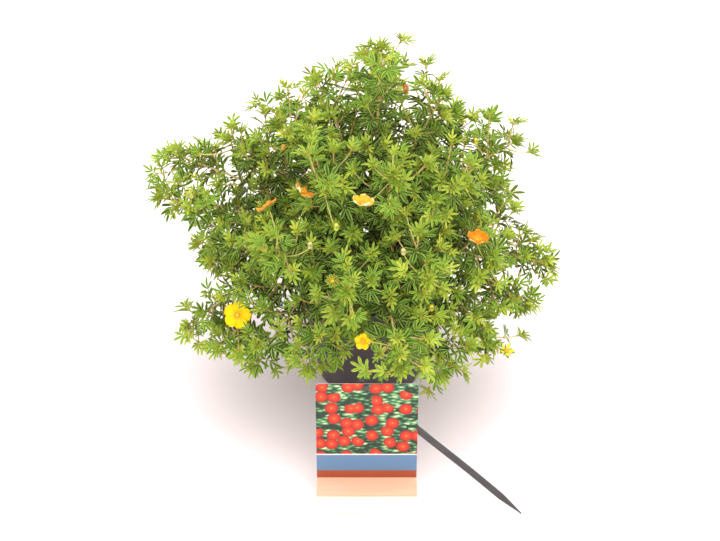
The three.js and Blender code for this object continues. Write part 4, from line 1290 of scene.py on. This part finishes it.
def petalParts(parts, bloom, turn, draw):
    # five creased petals round the eye, each a little over the next and those in front curled up
    radius, widest, root = bloom["radius"], petal["widest"], petal["rootRadius"]
    s = np.array(petal["rows"])[:, None]
    t = np.linspace(-1, 1, petal["columns"])[None, :]
    claw = petal["claw"] + (1 - petal["claw"]) * np.sin(np.pi / 2 * np.clip(s / widest, 0, 1))
    lobe = np.sqrt(np.clip(1 - ((s - widest) / (1 - widest)) ** 2, 0, 1))
    width = radius * bloom["width"] * np.where(s < widest, claw, lobe)
    for i in range(5):
        phase = draw.uniform(0, 6.28, 3)
        length = radius * draw.uniform(*petal["lengths"])
        u = root + (length - root) * s * (1 - petal["sideShorter"] * t ** 2 * s)
        v = width * t
        reach = np.hypot(u, v) / radius
        middle = 2 * np.pi * i / 5
        front = max(0, -(vec(math.cos(middle), math.sin(middle), 0) @ turn.T)[1])
        wave = np.sin(petal["broadAcross"] * t + phase[0]) * np.sin(petal["broadAlong"] * s + phase[1])
        wave = wave + 0.5 * np.sin(petal["fineAcross"] * t + petal["fineAlong"] * s + phase[2])
        ripple = bloom["crumple"] * radius * s * wave
        height = bloom["cup"] * reach ** 2 + ripple + petal["overlap"] * t * reach + petal["foot"]
        height = height + bloom["curl"] * front * s ** 3
        x = u * math.cos(middle) - v * math.sin(middle)
        y = u * math.sin(middle) + v * math.cos(middle)
        grid = np.stack([x, y, height + 0 * x], -1)
        verts, groups = sheetMesh(grid, vec(0, 0, -petal["thick"]))
        count = len(verts) // 2
        # painted shade: the low folds of each crumpled petal turn towards the flush colour
        shadeInCreases = petal["creaseShade"] * np.minimum(ripple / radius, 0)
        outward = (1 - petal["eyeTone"]) * (s + petal["sideTone"] * t ** 2)
        tone = np.tile(np.clip(petal["eyeTone"] + outward + shadeInCreases, 0, 1).ravel(), 2)
        look = np.stack([tone, np.zeros(2 * count), np.repeat([0.0, 1.0], count)], 1)
        addPart(parts, verts @ turn.T + vec(*bloom["at"]), groups, 0, look)


def eyeParts(parts, bloom, turn, draw):
    # the domed eye and its ring of stamens, smaller in smaller flowers
    scale = bloom["radius"] / stamen["madeFor"]
    verts, groups = latheMesh(stamen["eye"], 12)
    meshes = [(verts * vec(scale, scale, 1), groups)]
    for i in range(stamen["count"]):
        turnBy = 2 * np.pi * i / stamen["count"] + draw.uniform(-0.1, 0.1)
        lean = draw.uniform(*stamen["leans"])
        outward = vec(math.cos(turnBy), math.sin(turnBy), 0)
        foot = outward * stamen["ring"] * scale + up * petal["foot"]
        rise = unit(outward * math.sin(lean) + up * math.cos(lean))
        end = foot + rise * stamen["length"] * scale * draw.uniform(0.75, 1.1)
        meshes.append(tubeMesh([foot, end], stamen["threadRadii"], 4))
        anther = stamen["anther"] * scale
        line = [end + rise * along for along in (0, 0.35, 0.75, 1.0)]
        meshes.append(tubeMesh(line, [0.15, anther, anther * 0.8, 0.12], 6))
    for verts, groups in meshes:
        addPart(parts, verts @ turn.T + vec(*bloom["at"]), groups, 1)


def bloomPiece(bloom, number):
    draw = np.random.default_rng(300 + number)
    turn = facing(bloom)
    parts = newParts()
    petalParts(parts, bloom, turn, draw)
    eyeParts(parts, bloom, turn, draw)
    name = "bloom" + "".join(word.capitalize() for word in bloom["node"].split("_")[1:])
    finishPiece(name, parts, [petalSatin(bloom), pollen], bloom["node"], sharp=100)


for number, bloom in enumerate(blooms):
    bloomPiece(bloom, number)
print("blooms made")


# Label: printed card, wooden block and stake
printed = {
    "pictureFoot": 57.5, "lineFoot": 56, "bandFoot": 34, "berryCell": 16, "berryRadius": 7.2,
    "leafCell": 4.5, "leafLength": 2.8, "slants": (0.75, -0.9), "bareShare": 0.22,
    "band": "#5c80a3", "line": "#f3e4da", "strip": "#a04a2c", "back": "#efece6",
}


def printedCard():
    # coated card, offset printed: satin, with plain round berries among leaves over a bare band and a strip
    made, tree, shader = newMaterial("coatedCardPrinted", {"Roughness": 0.38, "IOR": 1.5})
    place = addNode(tree, "ShaderNodeTexCoord").outputs["Object"]
    axes = addNode(tree, "ShaderNodeSeparateXYZ", None, {"Vector": place})
    height = axes.outputs["Z"]
    flat = addNode(tree, "ShaderNodeCombineXYZ", None, {"X": axes.outputs["X"], "Y": height}).outputs[0]
    depths = []
    for slant in printed["slants"]:
        drawn = addNode(tree, "ShaderNodeMapping", None, {"Vector": flat},
                        {"Rotation": (0, 0, slant), "Scale": (1.0, printed["leafLength"], 1.0)})
        leaves = addNode(tree, "ShaderNodeTexVoronoi", {"voronoi_dimensions": "2D"},
                         {"Vector": drawn.outputs[0]}, {"Scale": scaleFor(2 * printed["leafCell"])})
        shade = addNode(tree, "ShaderNodeSeparateColor", None, {"Color": leaves.outputs["Color"]})
        depths.append(addNode(tree, "ShaderNodeMath", {"operation": "SUBTRACT"},
                              {0: shade.outputs["Red"], 1: leaves.outputs["Distance"]}).outputs[0])
    depth = addNode(tree, "ShaderNodeMath", {"operation": "MAXIMUM"}, {0: depths[0], 1: depths[1]})
    leafRamp = addNode(tree, "ShaderNodeValToRGB", None, {"Fac": depth.outputs[0]})
    greens = [(0.1, "#16301f"), (0.3, "#2d6440"), (0.52, "#5e9c5e"), (0.68, "#94bd86"), (0.82, "#dcdfae")]
    berries = addNode(tree, "ShaderNodeTexVoronoi", {"voronoi_dimensions": "2D"}, {"Vector": flat},
                      {"Scale": scaleFor(printed["berryCell"]), "Randomness": 0.75})
    size = printed["berryRadius"] / printed["berryCell"]
    inside = addNode(tree, "ShaderNodeMapRange", {"clamp": True}, {"Value": berries.outputs["Distance"]},
                     {"From Min": size, "From Max": size * 1.06, "To Min": 1.0, "To Max": 0.0})
    berryRamp = addNode(tree, "ShaderNodeValToRGB", None, {"Fac": berries.outputs["Distance"]})
    reds = [(0.0, "#fb9a4a"), (0.08, "#ee4714"), (0.28, "#dc2c08"), (0.38, "#a81e08")]
    pick = addNode(tree, "ShaderNodeSeparateColor", None, {"Color": berries.outputs["Color"]})
    some = addNode(tree, "ShaderNodeMath", {"operation": "GREATER_THAN"},
                   {0: pick.outputs["Green"]}, {1: printed["bareShare"]})
    shown = addNode(tree, "ShaderNodeMath", {"operation": "MULTIPLY"},
                    {0: inside.outputs[0], 1: some.outputs[0]})
    picture = {0: shown.outputs[0], 6: setRamp(leafRamp, greens), 7: setRamp(berryRamp, reds)}
    below = addNode(tree, "ShaderNodeMix", {"data_type": "RGBA"}, picture).outputs[2]
    for foot, colour in (("pictureFoot", "line"), ("lineFoot", "band"), ("bandFoot", "strip")):
        under = addNode(tree, "ShaderNodeMath", {"operation": "LESS_THAN"}, {0: height},
                        {1: printed[foot] * mm})
        below = addNode(tree, "ShaderNodeMix", {"data_type": "RGBA"}, {0: under.outputs[0], 6: below},
                        {7: linear(printed[colour])}).outputs[2]
    look = addNode(tree, "ShaderNodeAttribute", {"attribute_name": "look"})
    side = addNode(tree, "ShaderNodeSeparateColor", None, {"Color": look.outputs["Color"]}).outputs["Blue"]
    whole = addNode(tree, "ShaderNodeMix", {"data_type": "RGBA"}, {0: side, 6: below},
                    {7: linear(printed["back"])})
    dress(tree, shader, whole.outputs[2])
    return made


def makeCard():
    half, corner = card["width"] / 2, card["corner"]
    centres = [(half - corner, card["height"] - corner), (corner - half, card["height"] - corner),
               (corner - half, corner), (half - corner, corner)]
    outline = []
    for quarter, (x, z) in enumerate(centres):
        for t in np.linspace(0, math.pi / 2, 9):
            turn = t + quarter * math.pi / 2
            outline.append((x + corner * math.cos(turn), z + corner * math.sin(turn)))
        toX, toZ = centres[(quarter + 1) % 4]
        ahead = quarter * math.pi / 2 + math.pi / 2
        reach = np.array((toX + corner * math.cos(ahead), toZ + corner * math.sin(ahead)))
        last = np.array(outline[-1])
        outline += [tuple(last + (reach - last) * k / 12) for k in range(1, 12)]
    outer = np.array(outline) + vec(card["x"], card["foot"])
    peg = vec(stake["route"][1][0], stake["route"][1][2])
    ways = outer - peg
    inner = peg + ways / np.linalg.norm(ways, axis=1)[:, None] * card["pegHole"]
    count = len(outer)
    layers = [(flat, y) for y in (card["y"], card["y"] + card["thick"]) for flat in (outer, inner)]
    verts = np.concatenate([np.stack([flat[:, 0], np.full(count, y), flat[:, 1]], 1) for flat, y in layers])
    a = np.arange(count)
    b = (a + 1) % count
    frontFace = bandFaces(count, 2)
    backFace = np.stack([b, a, a + count, b + count], 1) + 2 * count
    rim = np.stack([b, a, a + 2 * count, b + 2 * count], 1)
    hole = np.stack([a, b, b + 2 * count, a + 2 * count], 1) + count
    parts = newParts()
    side = np.repeat([0.0, 0.0, 1.0, 1.0], count)
    addPart(parts, verts, [frontFace, backFace, rim, hole], look=np.stack([side * 0, side * 0, side], 1))
    finishPiece("labelCard", parts, [printedCard()], "label_card", sharp=30)


def sawnSoftwood():
    # spruce offcut, sawn and planed: pale cream with faint peach grain along it, and a darker, warmer top
    # face that is painted shade
    made, tree, shader = newMaterial("spruceSawn", {"Roughness": 0.7})
    place = addNode(tree, "ShaderNodeTexCoord").outputs["Object"]
    drawn = addNode(tree, "ShaderNodeMapping", None, {"Vector": place},
                    {"Scale": (scaleFor(60), scaleFor(3.5), scaleFor(3.5))})
    grain = addNode(tree, "ShaderNodeTexNoise", None, {"Vector": drawn.outputs[0]},
                    {"Scale": 1.0, "Detail": 5.0, "Roughness": 0.6}).outputs["Fac"]
    ramp = addNode(tree, "ShaderNodeValToRGB", None, {"Fac": grain})
    planed = setRamp(ramp, [(0.3, "#f8dcc8"), (0.5, "#fbe6d6"), (0.7, "#ffeee0")])
    # painted shade: the top face is coloured darker and warmer than the front, which stands brighter in the
    # light
    height = addNode(tree, "ShaderNodeSeparateXYZ", None, {"Vector": place}).outputs["Z"]
    top = addNode(tree, "ShaderNodeMath", {"operation": "GREATER_THAN"}, {0: height},
                  {1: (block["height"] - 0.5) * mm})
    both = addNode(tree, "ShaderNodeMix", {"data_type": "RGBA", "blend_type": "MULTIPLY"},
                   {0: top.outputs[0], 6: planed}, {7: linear("#f5d6bf")})
    dress(tree, shader, both.outputs[2], grain, 0.2)
    return made


def makeBlock():
    front, back, height, ease = block["front"], block["back"], block["height"], block["ease"]
    slotFront, slotBack = card["y"] - block["slotClear"], card["y"] + card["thick"] + block["slotClear"]
    slotFoot = height - block["slotDepth"]
    outline = np.array([
        (front + ease, 0), (back - ease, 0), (back, ease), (back, height - ease), (back - ease, height),
        (slotBack, height), (slotBack, slotFoot), (slotFront, slotFoot), (slotFront, height),
        (front + ease, height), (front, height - ease), (front, ease),
    ])
    half, count = card["width"] / 2, len(outline)
    middle = vec((front + back) / 2, height / 2)
    drawnIn = np.sign(outline - middle) * (outline[:, 1] != slotFoot)[:, None]
    rings = []
    ends = block["endEase"]
    for x, inset in ((-half, ends), (-half + ease, 0), (half - ease, 0), (half, ends)):
        flat = outline - drawnIn * inset
        flat[5:9, 0] = [slotBack, slotBack, slotFront, slotFront]
        rings.append(np.stack([np.full(count, x + card["x"]), flat[:, 0], flat[:, 1]], 1))
    first = np.arange(count)
    last = first + (len(rings) - 1) * count
    parts = newParts()
    addPart(parts, np.concatenate(rings), [bandFaces(count, len(rings)), first[::-1][None], last[None]])
    finishPiece("labelBlock", parts, [sawnSoftwood()], "label_block", sharp=30)


def stakePlastic():
    # polystyrene, moulded matt: dark neutral grey with a soft highlight along the lath
    stops = [(0.3, "#343231"), (0.7, "#413f3e")]
    return speckled("polystyreneMouldedMatt", {"Roughness": 0.45, "IOR": 1.59}, 20, 3.0, stops, 0.15)


def makeStake():
    points, length = stakePoints, stakeLength
    section = [(1, 0.6), (0.8, 1), (-0.8, 1), (-1, 0.6), (-1, -0.6), (-0.8, -1), (0.8, -1), (1, -0.6)]
    halfWidth, halfThick = stake["width"] / 2, stake["thick"] / 2
    rings = []
    for i, point in enumerate(points):
        along = unit(points[min(i + 1, len(points) - 1)] - points[max(i - 1, 0)])
        flat = unit(vec(0, -1, 0) + along * along[1])
        wide = np.cross(along, flat)
        narrowing = min(1, (1 - i / stake["steps"]) * length / stake["pointLength"] + stake["blunt"])
        thin = min(1, narrowing + 0.3)
        across, through = wide * halfWidth * narrowing, flat * halfThick * thin
        rings.append([point + across * a + through * b for a, b in section])
    verts = np.concatenate(rings)
    verts[:, 2] = np.maximum(verts[:, 2], stake["overFloor"])
    first = np.arange(len(section))
    last = first + (len(points) - 1) * len(section)
    parts = newParts()
    addPart(parts, verts, [bandFaces(len(section), len(points))[:, ::-1], first[None], last[::-1][None]])
    x, y, z = stake["route"][1]
    face = card["y"] - stake["capClear"]
    pegEnds = [vec(x, y, z), vec(x, face - 0.2, z)]
    addPart(parts, *tubeMesh(pegEnds, [stake["pegRadius"]] * 2, 20))
    cap = [(0, 0.96), (0.15, 1), (0.8, 0.92), (stake["capThick"], 0.6)]
    capLine = [vec(x, face - depth, z) for depth, _ in cap]
    addPart(parts, *tubeMesh(capLine, [stake["capRadius"] * share for _, share in cap], 24))
    finishPiece("labelStake", parts, [stakePlastic()], "label_stake", sharp=40)


makeCard()
makeBlock()
makeStake()
print("label made")

faceCorners = [
    len(face.vertices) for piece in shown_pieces() if piece.type == "MESH" for face in piece.data.polygons
]
print("triangles in all:", sum(faceCorners) - 2 * len(faceCorners))
